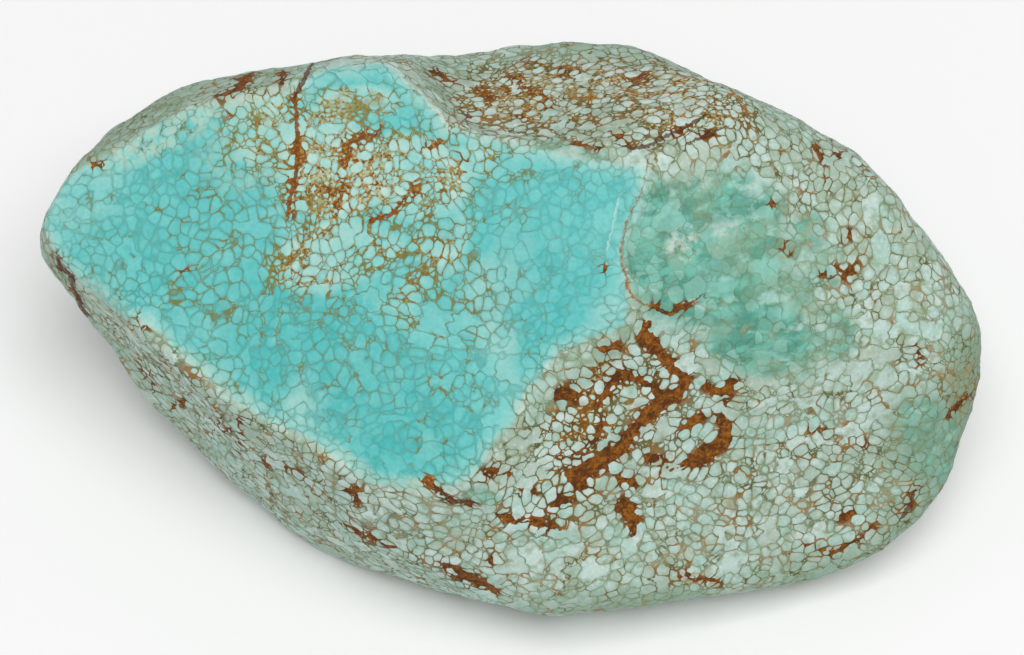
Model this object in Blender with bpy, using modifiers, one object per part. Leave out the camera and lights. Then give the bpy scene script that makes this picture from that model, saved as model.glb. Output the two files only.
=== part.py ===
"""A raw turquoise nugget: one natural stone, knocked into flats, worn round, with a window ground on its face.

The nugget is shaped face up, in bench axes: x along its length, y across it, z towards the eye that
looks straight at its face. It is then tipped back onto its resting flat, with +Z up.
"""

import math

import bmesh
import bpy
from mathutils import Matrix, Vector

MM = 0.001

# Driving dimensions, in millimetres, and angles, in degrees.
BLOCK = (84, 56, 44)  # the rough block that the flats are knocked off
FACE_TIP = 30  # how far the face leans back from looking straight up
GRAIN = 1.0  # the spacing of the points while the stone is worn round
WEAR_STRENGTH = 0.5  # how far one pass of wear pulls a point towards its neighbours
WEAR_PASSES = 24  # how long the stone has rolled: more passes make rounder edges
KEPT_SHARE = 0.33  # the share of the triangles that is enough to describe the worn stone
LUMP_HEIGHT = 1.0  # from the lowest to the highest point of the uneven skin
LUMP_WIDTH = 11

# Each flat is (turn, lean, reach): the compass turn of its outward normal in the bench plane, how
# far that normal leans up towards the face, and its distance from the middle of the block.
OUTLINE_FLATS = (
    (149, 0, 36.6),  # left tip, upper side
    (123, 0, 31.7),
    (97, 0, 23.0),  # shoulder, left of the bite
    (87, 0, 23.4),  # lobe, behind the bite
    (64, 0, 24.7),
    (37, 0, 30.5),
    (14, 0, 36.3),  # blunt right end
    (-36, 0, 35.6),
    (-66, 0, 28.7),
    (-83, 0, 23.3),  # lower edge
    (-103, -4, 22.1),
    (-133, -4, 25.8),
    (-158, -4, 35.2),  # left tip, lower side
)
FACE_FLATS = (
    (0, 72, 14.85),  # the broad slope right of the window
    (8, 42, 28.6),
    (52, 40, 23.8),
    (-30, 35, 27.6),
    (-61, 60, 12.4),  # the broad slope below and right of the window
    (-107, 46, 15.4),
    (-114, 15, 19.8),
    (-126, 28, 18.4),  # the side wall under the window
    (-134, 18, 20.6),
    (-143, 14, 27.6),
    (117, 20, 26.8),  # the narrow slope above the window
    (106, 25, 24.0),
)
BACK_FLATS = (
    (92, -38, 22.0),
    (60, -78, 17.4),
    (175, -48, 28.4),
    (140, -36, 30.0),
    (-4, -46, 28.4),
    (40, -44, 26.8),
    (-48, -34, 30.0),
    (-128, -34, 26.0),
    (-160, -62, 23.0),
    (-30, -66, 22.0),
    (-90, FACE_TIP - 90, 17.9),  # where the stone will rest
)

# A lump split off the top edge along these three flats and left a bite.
BITE_FLATS = (
    (44, 14, 9.3),  # the end of the shoulder
    (82, 12, 16.2),  # the drop behind the window
    (103, 32, 16.6),  # the lobe that is left
)

# These two are ground after the wear, so they are truly flat.
WINDOW = (180, 78, 9.9)
REST = (-90, FACE_TIP - 90, 17.2)  # square to the ground once the stone is tipped back

SKIN_COLOUR = (0.50, 0.66, 0.56, 1)
SKIN_ROUGHNESS = 0.55
CREASE = math.radians(35)  # edges sharper than this are shaded sharp


def direction(turn, lean):
    """The unit vector with this turn in the bench plane and this lean towards the face."""
    turn, lean = math.radians(turn), math.radians(lean)
    level = math.cos(lean)
    return Vector((level * math.cos(turn), level * math.sin(turn), math.sin(lean)))


def cut(bm, flat, keep_outside=False):
    """Cuts along a flat, keeps one side, and closes the cut."""
    turn, lean, reach = flat
    outward = direction(turn, lean)
    bmesh.ops.bisect_plane(
        bm,
        geom=bm.verts[:] + bm.edges[:] + bm.faces[:],
        plane_co=outward * reach * MM,
        plane_no=outward,
        clear_outer=not keep_outside,
        clear_inner=keep_outside,
    )
    rim = [edge for edge in bm.edges if edge.is_boundary]
    bmesh.ops.holes_fill(bm, edges=rim, sides=0)


def box(sides):
    """A box around the middle of the block, with sides in millimetres."""
    bm = bmesh.new()
    bmesh.ops.create_cube(bm, size=1)
    bmesh.ops.scale(bm, vec=[side * MM for side in sides], verts=bm.verts)
    return bm


def object_from(name, bm, collection):
    """Turns the bmesh into an object in the collection."""
    mesh = bpy.data.meshes.new(name)
    bmesh.ops.recalc_face_normals(bm, faces=bm.faces)
    bm.to_mesh(mesh)
    bm.free()
    obj = bpy.data.objects.new(name, mesh)
    collection.objects.link(obj)
    return obj


def rough_stone(collection):
    """The block with its flats knocked off, every edge still sharp."""
    bm = box(BLOCK)
    for flat in OUTLINE_FLATS + FACE_FLATS + BACK_FLATS:
        cut(bm, flat)
    return object_from("nugget", bm, collection)


def split_lump(collection):
    """The lump that split off: everything outside all the flats of the bite."""
    bm = box([2 * side for side in BLOCK])
    for flat in BITE_FLATS:
        cut(bm, flat, keep_outside=True)
    lump = object_from("split_lump", bm, collection)
    lump.hide_render = True
    lump.display_type = "WIRE"
    return lump


def wear(stone, lump):
    """Takes the lump away, then rolls the sharp stone until it is round-edged and a little uneven."""
    bite = stone.modifiers.new("bite", "BOOLEAN")
    bite.operation = "DIFFERENCE"
    bite.object = lump
    grain = stone.modifiers.new("grain", "REMESH")
    grain.mode = "VOXEL"
    grain.voxel_size = GRAIN * MM
    rolling = stone.modifiers.new("rolling", "SMOOTH")
    rolling.factor = WEAR_STRENGTH
    rolling.iterations = WEAR_PASSES
    clouds = bpy.data.textures.new("lumps", "CLOUDS")
    clouds.noise_scale = LUMP_WIDTH * MM
    lumps = stone.modifiers.new("lumps", "DISPLACE")
    lumps.texture = clouds
    lumps.strength = LUMP_HEIGHT * MM
    thinning = stone.modifiers.new("thinning", "DECIMATE")
    thinning.ratio = KEPT_SHARE
    graph = bpy.context.evaluated_depsgraph_get()
    worn = bpy.data.meshes.new_from_object(stone.evaluated_get(graph))
    stone.modifiers.clear()
    stone.data = worn


def grind_and_tip(stone):
    """Grinds the window and the resting flat, tips the stone back, and sets it on the ground."""
    bm = bmesh.new()
    bm.from_mesh(stone.data)
    for flat in (WINDOW, REST):
        cut(bm, flat)
    bmesh.ops.rotate(bm, matrix=Matrix.Rotation(math.radians(FACE_TIP), 3, "X"), verts=bm.verts)
    low = Vector(min(vert.co[axis] for vert in bm.verts) for axis in range(3))
    high = Vector(max(vert.co[axis] for vert in bm.verts) for axis in range(3))
    middle = (low + high) / 2
    bmesh.ops.translate(bm, vec=(-middle.x, -middle.y, -low.z), verts=bm.verts)
    bmesh.ops.triangulate(bm, faces=bm.faces)
    bm.to_mesh(stone.data)
    bm.free()
    print("nugget:", len(stone.data.polygons), "triangles,", [round(side / MM, 1) for side in high - low])


def turquoise():
    """The chalky green skin."""
    material = bpy.data.materials.new("turquoise")
    material.use_nodes = True
    shader = material.node_tree.nodes["Principled BSDF"]
    shader.inputs["Base Color"].default_value = SKIN_COLOUR
    shader.inputs["Roughness"].default_value = SKIN_ROUGHNESS
    shader.inputs["Metallic"].default_value = 0
    return material


def main():
    for obj in list(bpy.data.objects):
        bpy.data.objects.remove(obj)
    parts = bpy.data.collections.new("turquoise_nugget")
    cutters = bpy.data.collections.new("cutters")
    for collection in (parts, cutters):
        bpy.context.scene.collection.children.link(collection)
    stone = rough_stone(parts)
    wear(stone, split_lump(cutters))
    grind_and_tip(stone)
    stone.data.materials.clear()
    stone.data.materials.append(turquoise())
    stone.data.shade_smooth()
    stone.data.set_sharp_from_angle(angle=CREASE)


main()
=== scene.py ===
# %% [markdown]
# # A raw turquoise nugget
#
# Turquoise grows in cracks and hollows of a brown, iron-rich rock. This nugget is one solid stone: a
# chalky green-white skin, a fine brown web (the matrix) that runs through all of it, some wide rusty
# veins, and one flat window that a lapidary ground on its face to show the sky blue inside.
#
# The CAD model gives the stone's true size and its flats. This lesson gives it its looks. There are two
# usual ways to colour a stone: paint an image and wrap it round, or let the colour be worked out from
# each point's place in the stone. The second way is used here, because the web then runs through the
# solid, as it does in real turquoise, and it looks right from every side.

# %% Load the packed stone
import math

import bmesh
import bpy
import numpy as np
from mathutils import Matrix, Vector


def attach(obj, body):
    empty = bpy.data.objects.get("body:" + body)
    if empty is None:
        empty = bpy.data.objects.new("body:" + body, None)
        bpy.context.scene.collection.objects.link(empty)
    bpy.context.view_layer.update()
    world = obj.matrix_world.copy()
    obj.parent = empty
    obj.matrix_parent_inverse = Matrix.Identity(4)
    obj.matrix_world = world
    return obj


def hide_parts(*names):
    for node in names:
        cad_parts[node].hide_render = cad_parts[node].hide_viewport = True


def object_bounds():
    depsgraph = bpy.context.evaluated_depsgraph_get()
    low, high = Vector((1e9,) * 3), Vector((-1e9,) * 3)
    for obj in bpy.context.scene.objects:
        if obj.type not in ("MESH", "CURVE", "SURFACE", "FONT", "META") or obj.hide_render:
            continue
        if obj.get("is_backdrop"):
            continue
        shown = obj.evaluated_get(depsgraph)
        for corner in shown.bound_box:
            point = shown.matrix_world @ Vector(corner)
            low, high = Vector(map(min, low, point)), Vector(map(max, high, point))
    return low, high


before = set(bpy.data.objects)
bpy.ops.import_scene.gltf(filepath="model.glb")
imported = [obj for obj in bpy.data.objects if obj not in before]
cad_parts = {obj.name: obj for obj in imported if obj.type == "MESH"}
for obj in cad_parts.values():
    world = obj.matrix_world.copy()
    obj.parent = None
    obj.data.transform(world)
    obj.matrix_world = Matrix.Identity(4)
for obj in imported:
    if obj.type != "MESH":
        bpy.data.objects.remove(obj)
cad_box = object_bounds()
MM = 0.001
cad_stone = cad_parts["nugget"]
print("the CAD stone's sides, mm:", [round(side / MM, 1) for side in cad_box[1] - cad_box[0]])

# %% [markdown]
# ## A chart of the face
#
# The face leans back by 30 degrees, and an eye that looks straight at it from 42 cm sees all the marks
# that this lesson draws. So the marks are drawn on a chart: "across" is millimetres to the right
# of the face's middle, and "up" is millimetres towards its top edge, both as that eye sees them. The
# middle is worked out from the CAD stone, so the marks stay on the stone if its place changes.

# %% The chart's axes
FACE_TIP = math.radians(30)
EYE_DISTANCE = 420  # mm, from the face's middle
ACROSS = Vector((1, 0, 0))
UP = Vector((0, math.cos(FACE_TIP), math.sin(FACE_TIP)))
OUT = ACROSS.cross(UP)


def points_of(mesh):
    """The mesh's points in millimetres, one row each."""
    flat = np.zeros(len(mesh.vertices) * 3)
    mesh.vertices.foreach_get("co", flat)
    return flat.reshape(-1, 3) / MM


chart_axes = np.array([ACROSS, UP, OUT])
cad_spread = points_of(cad_stone.data) @ chart_axes.T
face_middle = (cad_spread.min(axis=0) + cad_spread.max(axis=0)) / 2
print("middle of the face along its own axes, mm:", face_middle.round(2))

# %% [markdown]
# ## Where the window is
#
# The ground window is the widest truly flat part of the stone. Its plane could be typed in again, but
# then it could drift away from the CAD. It is found instead: the CAD triangles are sorted by the way
# they face, and the direction that gathers the most area, among those that face upwards, is the window's.

# %% Find the window's plane
SAME_WAY = 3  # triangles face the same way if their directions agree to this many decimals


def widest_flat(mesh):
    """The outward direction and the reach, in mm, of the largest flat that faces upwards."""
    area_by_direction = {}
    for face in mesh.polygons:
        if face.normal.z > 0:
            key = tuple(round(part, SAME_WAY) for part in face.normal)
            area, moment = area_by_direction.get(key, (0, Vector()))
            area_by_direction[key] = (area + face.area, moment + face.center * face.area)
    key, (area, moment) = max(area_by_direction.items(), key=lambda entry: entry[1][0])
    outward = Vector(key).normalized()
    return outward, outward.dot(moment / area) / MM


window_out, window_reach = widest_flat(cad_stone.data)
print("the window faces", tuple(round(part, 3) for part in window_out))
print("and reaches", round(window_reach, 2), "mm")

# %% [markdown]
# ## A finer stone
#
# The CAD stone is made of facets about 2 mm wide, which is right for its solid but too coarse for a skin
# with cells of 1 mm. A subdivision surface would keep the facets' pattern, so the copy is rebuilt on an
# even voxel grid instead, then smoothed a little, as if it had rolled in a river. Smoothing also rounds
# off the window, so the window's points are ground back onto their plane at the end.

# %% Rebuild the stone on a fine grid
GRAIN = 0.335  # mm between the points of the fine stone
ROLLING = 0.5  # how far one pass pulls a point towards its neighbours
ROLLING_PASSES = 12
GRINDING = (0.10, 0.22)  # mm off the plane: ground flat up to the first, left alone from the second


def steps(value, start, end):
    """A smooth rise from 0 at start to 1 at end, for whole arrays at once."""
    share = np.clip((value - start) / (end - start), 0, 1)
    return share * share * (3 - 2 * share)


def frozen(thing):
    """The object's mesh with its modifiers worked out."""
    graph = bpy.context.evaluated_depsgraph_get()
    graph.update()
    return bpy.data.meshes.new_from_object(thing.evaluated_get(graph))


def fine_stone(source):
    """A dense, lightly rolled copy of the CAD stone."""
    stone = bpy.data.objects.new("turquoise_stone", source.data.copy())
    bpy.context.scene.collection.objects.link(stone)
    grid = stone.modifiers.new("even grain", "REMESH")
    grid.mode = "VOXEL"
    grid.voxel_size = GRAIN * MM
    rolling = stone.modifiers.new("rolling", "SMOOTH")
    rolling.factor = ROLLING
    rolling.iterations = ROLLING_PASSES
    stone.data = frozen(stone)
    stone.modifiers.clear()
    stone.data.materials.clear()
    return stone


def grind(stone):
    """Puts the points that are nearly on the window's plane exactly on it."""
    places = points_of(stone.data)
    height = places @ np.array(window_out) - window_reach
    ground = 1 - steps(np.abs(height), *GRINDING)
    places -= (height * ground)[:, None] * np.array(window_out)
    stone.data.vertices.foreach_set("co", (places * MM).ravel())
    return places


stone = fine_stone(cad_stone)
places = grind(stone)
print("fine stone:", len(stone.data.vertices), "points,", 2 * len(stone.data.polygons), "triangles at most")

# %% [markdown]
# ## Paint on points
#
# A mark needs a place, and a mesh can carry numbers on its points, called attributes. Each mark below is
# drawn on the chart and turned into such a number: how deep inside a stroke a point is, how far inside an
# outline, or how strong a soft stain is there. The numbers change smoothly from point to point, so the
# edge between two colours, which the material puts where a number passes zero, comes out far crisper
# than the mesh. Paint must not run round to the back, so every mark fades where the skin turns away.

# %% Chart places and brushes
FACING = (0.02, 0.2)  # how squarely the skin faces the eye, where a mark starts and where it is full
FAR = -3.0  # mm, the "not here at all" depth

offsets = places @ chart_axes.T - face_middle
nearness = EYE_DISTANCE / (EYE_DISTANCE - offsets[:, 2])
across = offsets[:, 0] * nearness
up = offsets[:, 1] * nearness
normals = np.zeros(len(places) * 3)
stone.data.vertices.foreach_get("normal", normals)
normals = normals.reshape(-1, 3)
facing = steps(normals @ np.array(OUT), *FACING)


def paint(name, values):
    """Keeps one number a point on the stone, under this name."""
    layer = stone.data.attributes.new(name, "FLOAT", "POINT")
    layer.data.foreach_set("value", values.astype(np.float32))
    print(f"painted {name}: {values.min():.2f} to {values.max():.2f}")


def segments(stroke):
    """Pairs of neighbouring points of a stroke, each point being (across, up, width)."""
    return zip(stroke, stroke[1:])


def side_and_width(start, end):
    """Of every point: its signed distance to a segment, the plain distance, and the width there."""
    run = np.array(end[:2]) - np.array(start[:2])
    length = math.hypot(*run)
    ahead = ((across - start[0]) * run[0] + (up - start[1]) * run[1]) / length**2
    ahead = np.clip(ahead, 0, 1)
    off_across = across - start[0] - ahead * run[0]
    off_up = up - start[1] - ahead * run[1]
    side = np.sign(off_up * run[0] - off_across * run[1])
    away = np.hypot(off_across, off_up)
    return side * away, away, start[2] + (end[2] - start[2]) * ahead


def depth_in(strokes):
    """How deep each point lies inside the strokes, in mm; outside them it is minus the distance."""
    deepest = np.full(len(places), FAR)
    for stroke in strokes:
        for start, end in segments(stroke):
            _, away, width = side_and_width(start, end)
            deepest = np.maximum(deepest, width / 2 - away)
    return deepest


SPOT_FADE = (0.45, 1.15)  # in half lengths from its middle, where a spot starts to fade and where it ends


def spots(marks):
    """Soft oval stains: (across, up, half length, half height, turn, strength). Strongest wins."""
    amount = np.zeros(len(places))
    for at_across, at_up, half_length, half_height, turn, strength in marks:
        cosine = math.cos(math.radians(turn))
        sine = math.sin(math.radians(turn))
        along = ((across - at_across) * cosine + (up - at_up) * sine) / half_length
        over = ((up - at_up) * cosine - (across - at_across) * sine) / half_height
        amount = np.maximum(amount, strength * (1 - steps(np.hypot(along, over), *SPOT_FADE)))
    return amount


def depth_in_outline(outline):
    """How far each point lies inside a closed outline, in mm; negative outside."""
    nearest = np.full(len(places), np.inf)
    inside = np.zeros(len(places), bool)
    for (x0, y0), (x1, y1) in zip(outline, outline[1:] + outline[:1]):
        _, away, _ = side_and_width((x0, y0, 0), (x1, y1, 0))
        nearest = np.minimum(nearest, away)
        if y0 != y1:
            crossing = x0 + (up - y0) * (x1 - x0) / (y1 - y0)
            inside ^= ((up >= y0) != (up >= y1)) & (across < crossing)
    return np.where(inside, nearest, -nearest)


# %% [markdown]
# ## The blue window's outline
#
# Where the ground flat meets a steep side, the blue stops at the edge. Towards the lower right the flat
# runs out gently into the skin, and there the blue stops on a wavy line of its own. So the blue is where
# a point is both inside the drawn outline and hardly below the window's plane.

# %% Paint the window
WINDOW_OUTLINE = [
    (-37.7, 8.2), (-37.1, 10.2), (-35.1, 12.5), (-31.8, 14.0), (-29.1, 16.0), (-26.6, 17.4), (-22.6, 17.9),
    (-17.4, 19.0), (-16.4, 19.9), (-14.6, 21.0), (-10.2, 21.5), (-8.6, 19.9), (-6.7, 18.2), (-5.1, 16.0),
    (-3.4, 15.4), (0.6, 14.6), (5.1, 13.8), (10.7, 12.8), (10.6, 11.0), (10.4, 9.3), (9.5, 8.1), (9.2, 5.0),
    (9.4, 2.2), (9.1, 0.3), (6.7, -0.8), (4.5, -1.7), (2.6, -3.4), (0.6, -5.9), (-0.4, -8.4), (-1.8, -10.2),
    (-3.4, -12.1), (-5.8, -13.0), (-8.3, -13.1), (-11.5, -12.4), (-13.8, -10.6), (-16.0, -9.2),
    (-20.1, -7.3), (-22.8, -5.3), (-26.8, -2.0), (-29.2, 0.3), (-32.2, 1.1), (-34.3, 2.8), (-36.3, 5.3),
]
DROP_AT_EDGE = 1.0  # mm below the plane where the blue stops
DROP_STEEPNESS = 3  # turns a drop below the plane into a distance from the blue's edge

drop = window_reach - places @ np.array(window_out)
window_depth = np.minimum(depth_in_outline(WINDOW_OUTLINE), DROP_STEEPNESS * (DROP_AT_EDGE - drop))
window_depth = np.where(facing > 0, window_depth, FAR)
paint("window", window_depth)

# %% [markdown]
# ## Rusty veins
#
# Iron has filled the wider cracks. Seen close, such a vein isn't a drawn line: it swallows some cells of
# the web, leaves pale islands of others, and thickens the brown seams all around it. So only its middle
# line and its width are drawn here, and the material lets the web decide which cells are left.
# Each point of a stroke is (across, up, width) in millimetres.

# %% Paint the rusty veins
VEINS_BESIDE_THE_WINDOW = [
    [(11.7, 1.7, 0.62), (11.1, 0.8, 1.02), (10.9, -0.2, 1.42), (10.8, -1.0, 1.62), (11.8, -2.0, 0.92),
     (12.4, -2.8, 1.02)],
    [(12.4, -2.8, 1.02), (14.0, -4.1, 0.72), (13.8, -4.7, 0.92), (13.2, -5.5, 1.22), (11.8, -6.3, 1.42)],
    [(11.8, -6.3, 1.42), (10.6, -7.1, 1.22), (9.7, -8.5, 1.22), (8.9, -9.5, 1.42), (7.5, -10.7, 1.42)],
    [(7.5, -10.7, 1.42), (6.3, -11.2, 1.32), (5.1, -11.9, 1.72), (5.9, -12.8, 0.72)],
    [(11.6, 1.7, 0.52), (12.0, 1.1, 0.52), (13.0, 1.1, 0.52), (13.6, 1.6, 0.62), (15.0, 2.5, 0.2)],
    [(7.3, -1.7, 0.72), (8.5, -1.6, 0.72)],
    [(3.9, -5.4, 1.22), (4.7, -5.5, 1.32)],
    [(6.9, -6.3, 0.3), (7.5, -5.3, 0.62), (8.3, -4.1, 0.72), (9.1, -3.7, 0.62), (10.1, -4.2, 0.72)],
    [(10.1, -4.2, 0.82), (11.4, -4.9, 0.72), (11.9, -5.8, 0.72)],
    [(6.9, -6.3, 0.2), (7.3, -7.4, 0), (6.6, -9.0, 0.1), (5.2, -10.2, 0.2), (3.4, -10.2, 0.1)],
    [(15.6, -4.9, 0.92), (16.8, -5.3, 1.12), (17.7, -4.3, 0.82)],
    [(16.8, -5.3, 0.92), (17.0, -6.1, 0.82)],
    [(15.2, -7.3, 0.82), (13.8, -8.1, 0.72), (13.5, -8.8, 0.3)],
    [(16.5, -7.3, 0.92), (17.6, -7.9, 0.82), (16.9, -8.9, 1.72), (16.2, -9.6, 1.52)],
    [(16.2, -9.6, 1.52), (15.0, -10.6, 1.02), (13.8, -11.1, 0.92), (12.0, -11.7, 0.72)],
    [(10.7, -10.3, 0.62), (11.6, -10.5, 0.72), (12.4, -10.6, 0.62)],
    [(8.8, -12.4, 1.12), (9.7, -12.5, 0.92)],
    [(9.1, -13.8, 1.02), (9.2, -14.6, 1.72), (9.6, -15.4, 1.22), (9.8, -16.5, 0.72)],
    [(2.7, -14.6, 0.3), (3.9, -13.8, 0.92), (4.8, -13.6, 0.72)],
    [(-1.0, -15.1, 0.62), (0.3, -15.4, 0.82), (2.0, -15.5, 1.22), (3.1, -16.2, 0.62), (3.7, -16.7, 0.3)],
    [(-2.4, -11.8, 0.82), (-1.2, -11.2, 1.02), (-0.5, -11.6, 0.52)],
    [(1.1, -13.0, 0.52), (1.8, -13.1, 0.62)],
]
VEINS_BELOW_THE_WINDOW = [
    [(-7.1, -12.1, 0.5), (-6.5, -12.5, 0.7), (-5.8, -13.1, 0.6), (-4.6, -14.0, 0.5), (-2.6, -14.2, 0.2)],
    [(-1.7, -17.8, 0.3), (-1.5, -18.3, 0.6), (-1.8, -18.9, 0.3)],
    [(-5.5, -19.1, 0.5), (-4.3, -19.7, 0.8), (-3.1, -20.4, 0.9), (-1.5, -21.2, 0.7)],
    [(-13.4, -13.0, 0.4), (-12.6, -13.0, 0.4), (-12.3, -14.1, 0.3)],
    [(-13.5, -15.6, 0.3), (-12.2, -16.3, 0.5), (-10.8, -16.9, 0.3), (-9.6, -17.6, 0.3)],
    [(-36.5, 5.7, 0.3), (-36.4, 4.8, 0.3), (-35.4, 4.2, 0.6), (-35.4, 3.1, 0.4), (-35.6, 2.4, 0.3)],
    [(-35.4, 3.1, 0.3), (-34.9, 2.4, 0.4), (-34.2, 1.0, 0.4)],
    [(-29.6, 1.0, 0.7), (-29.2, 0.6, 0.7)],
    [(-30.0, -2.7, 0.1), (-28.6, -4.9, 0.2), (-27.0, -6.4, 0.4), (-25.8, -5.5, 0.1)],
    [(-23.4, -7.1, 0.2), (-23.4, -8.4, 0.35), (-21.2, -7.4, 0.35), (-22.0, -9.8, 0.1)],
    [(-20.2, -10.6, 0.2), (-17.0, -11.6, 0.4)],
]
VEINS_IN_THE_WINDOW = [
    [(-16.8, 19.5, 0.3), (-17.2, 18.8, 0.4), (-17.4, 18.4, 0.5), (-17.3, 17.0, 0.3), (-17.2, 15.4, 0.45)],
    [(-17.2, 15.4, 0.45), (-17.2, 14.2, 0.75), (-17.1, 13.2, 0.6), (-17.4, 11.9, 0.4), (-17.9, 10.1, 0.6)],
    [(-17.9, 10.1, 0.6), (-17.6, 8.9, 0.2)],
    [(-20.1, 21.0, 0.3), (-20.8, 20.5, 0.4), (-21.7, 19.7, 1.1), (-22.5, 19.0, 0.6), (-23.6, 18.5, 0.3)],
    [(-22.5, 18.8, 0.3), (-22.6, 16.8, 0.3)],
    [(-18.4, 20.5, 0.4), (-18.5, 19.8, 0.5)],
    [(-13.7, 14.8, 0.15), (-12.5, 15.0, 0.45), (-11.3, 15.5, 0.2), (-10.6, 16.0, 0.05)],
    [(-13.3, 14.4, 0.2), (-13.7, 11.6, 0.1), (-13.7, 10.6, 0.4), (-14.0, 9.8, 0.3)],
    [(-15.9, 10.9, 0.3), (-14.6, 10.9, 0.2)],
    [(-12.4, 8.4, 0), (-11.3, 8.6, 0.1), (-9.6, 9.2, 0), (-8.7, 10.2, 0.2)],
    [(-7.9, 11.7, 0.3), (-7.7, 10.9, 0.6)],
    [(-6.6, 14.3, 0.3), (-6.0, 14.6, 0.4), (-5.1, 15.6, 0.1)],
    [(-3.9, 13.6, 0.3), (-3.6, 12.9, 0.3)],
    [(-5.8, 11.4, 0.1), (-5.5, 10.6, 0.2)],
    [(-6.0, 6.9, 0.1), (-5.8, 6.4, 0.2)],
    [(-26.5, 4.5, 0.2), (-25.8, 4.7, 0.2)],
    [(7.3, 4.8, 0.45), (7.5, 4.7, 0.45)],
]
FINE_VEINS_IN_THE_WINDOW = [
    [(-30.7, -0.2, 0), (-29.3, 0.9, 0), (-27.8, 2.3, 0.1), (-26.8, 4.4, 0.1), (-25.3, 4.9, 0),
     (-23.4, 6.8, 0)],
    [(-23.4, 6.8, 0), (-21.5, 8.0, 0), (-19.6, 9.2, 0.1), (-18.2, 10.0, 0.2)],
    [(-22.8, 15.4, 0.2), (-22.6, 16.6, 0), (-22.4, 17.8, 0), (-22.4, 18.6, 0.1)],
    [(-20.8, 15.6, 0.1), (-20.2, 14.4, 0.1), (-20.8, 12.8, 0), (-21.0, 11.4, 0)],
    [(-17.9, 9.0, 0.1), (-18.2, 7.8, 0.1), (-18.5, 6.6, 0.1), (-19.0, 5.2, 0), (-19.2, 3.8, 0),
     (-19.6, 2.8, 0.1)],
    [(-19.6, 2.8, 0.1), (-20.4, 2.0, 0.1), (-21.2, 1.2, 0), (-22.6, 0.8, 0)],
    [(-18.3, 1.6, 0), (-18.5, 0.8, 0.1), (-18.9, 0.0, 0.2), (-19.2, -1.3, 0)],
    [(-16.2, 5.6, 0), (-16.4, 4.4, 0.1), (-16.6, 3.4, 0.1), (-17.0, 2.0, 0)],
    [(-17.1, -2.0, 0.1), (-17.0, -3.2, 0.1), (-17.4, -4.6, 0), (-18.1, -5.7, 0.1), (-18.4, -7.4, 0),
     (-18.6, -8.6, 0)],
    [(-11.2, -1.2, 0), (-12.7, -1.5, 0.2), (-12.6, -3.8, 0), (-12.2, -4.8, 0.2), (-12.8, -6.6, 0)],
    [(-12.8, -6.6, 0), (-12.2, -7.9, 0.1), (-12.8, -8.8, 0), (-13.3, -9.6, 0.1), (-12.6, -11.0, 0.1)],
    [(-18.0, 8.8, 0.1), (-16.8, 8.2, 0.1), (-15.0, 7.9, 0.2), (-14.2, 8.6, 0.1), (-13.4, 9.2, 0)],
    [(-15.2, 8.0, 0.1), (-15.3, 6.8, 0), (-15.6, 5.8, 0)],
    [(-13.3, 7.6, 0.1), (-13.9, 6.4, 0), (-14.2, 5.6, 0)],
    [(-11.6, 5.2, 0), (-11.8, 3.8, 0.1), (-11.5, 3.0, 0.1), (-11.9, 2.0, 0), (-11.4, 1.2, 0)],
    [(-10.6, 5.6, 0), (-10.2, 4.6, 0.1), (-10.4, 3.4, 0), (-9.4, 2.8, 0)],
    [(-9.4, 5.1, 0), (-8.6, 5.4, 0.1), (-7.9, 5.2, 0)],
    [(-6.0, 9.5, 0), (-5.8, 8.4, 0), (-6.2, 6.8, 0.2), (-5.6, 5.4, 0.1), (-5.5, 4.8, 0)],
    [(-6.8, 3.8, 0), (-6.6, 2.6, 0), (-5.4, 2.4, 0), (-4.4, 1.8, 0), (-4.3, 0.8, 0)],
    [(-5.8, -0.4, 0), (-5.4, -0.8, 0.2), (-5.5, -1.4, 0)],
    [(-4.7, -1.7, 0), (-3.9, -1.4, 0.1), (-3.4, -2.8, 0.1)],
    [(-1.7, -3.3, 0), (-1.1, -4.2, 0.1), (-0.4, -4.2, 0), (0.1, -3.4, 0)],
    [(-7.2, -5.0, 0), (-6.6, -4.2, 0), (-5.6, -4.4, 0), (-5.4, -5.4, 0)],
    [(-8.3, -0.4, 0), (-7.8, 0.6, 0), (-10.4, -0.2, 0)],
    [(-9.9, -6.0, 0), (-9.3, -5.6, 0.1)],
    [(-4.4, 17.8, 0.1), (-3.4, 17.2, 0.2), (-2.0, 16.2, 0.1), (-0.1, 15.9, 0.2), (3.1, 16.2, 0)],
    [(-3.9, 13.4, 0.2), (-4.0, 11.8, 0), (-3.4, 10.8, 0), (-4.2, 9.4, 0), (-4.6, 8.2, 0)],
    [(-9.4, 13.8, 0), (-8.2, 13.4, 0.1), (-6.6, 13.6, 0.1)],
    [(-10.7, 13.6, 0), (-10.4, 12.2, 0.1), (-8.6, 11.0, 0.1), (-8.0, 11.2, 0.3)],
]
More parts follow.
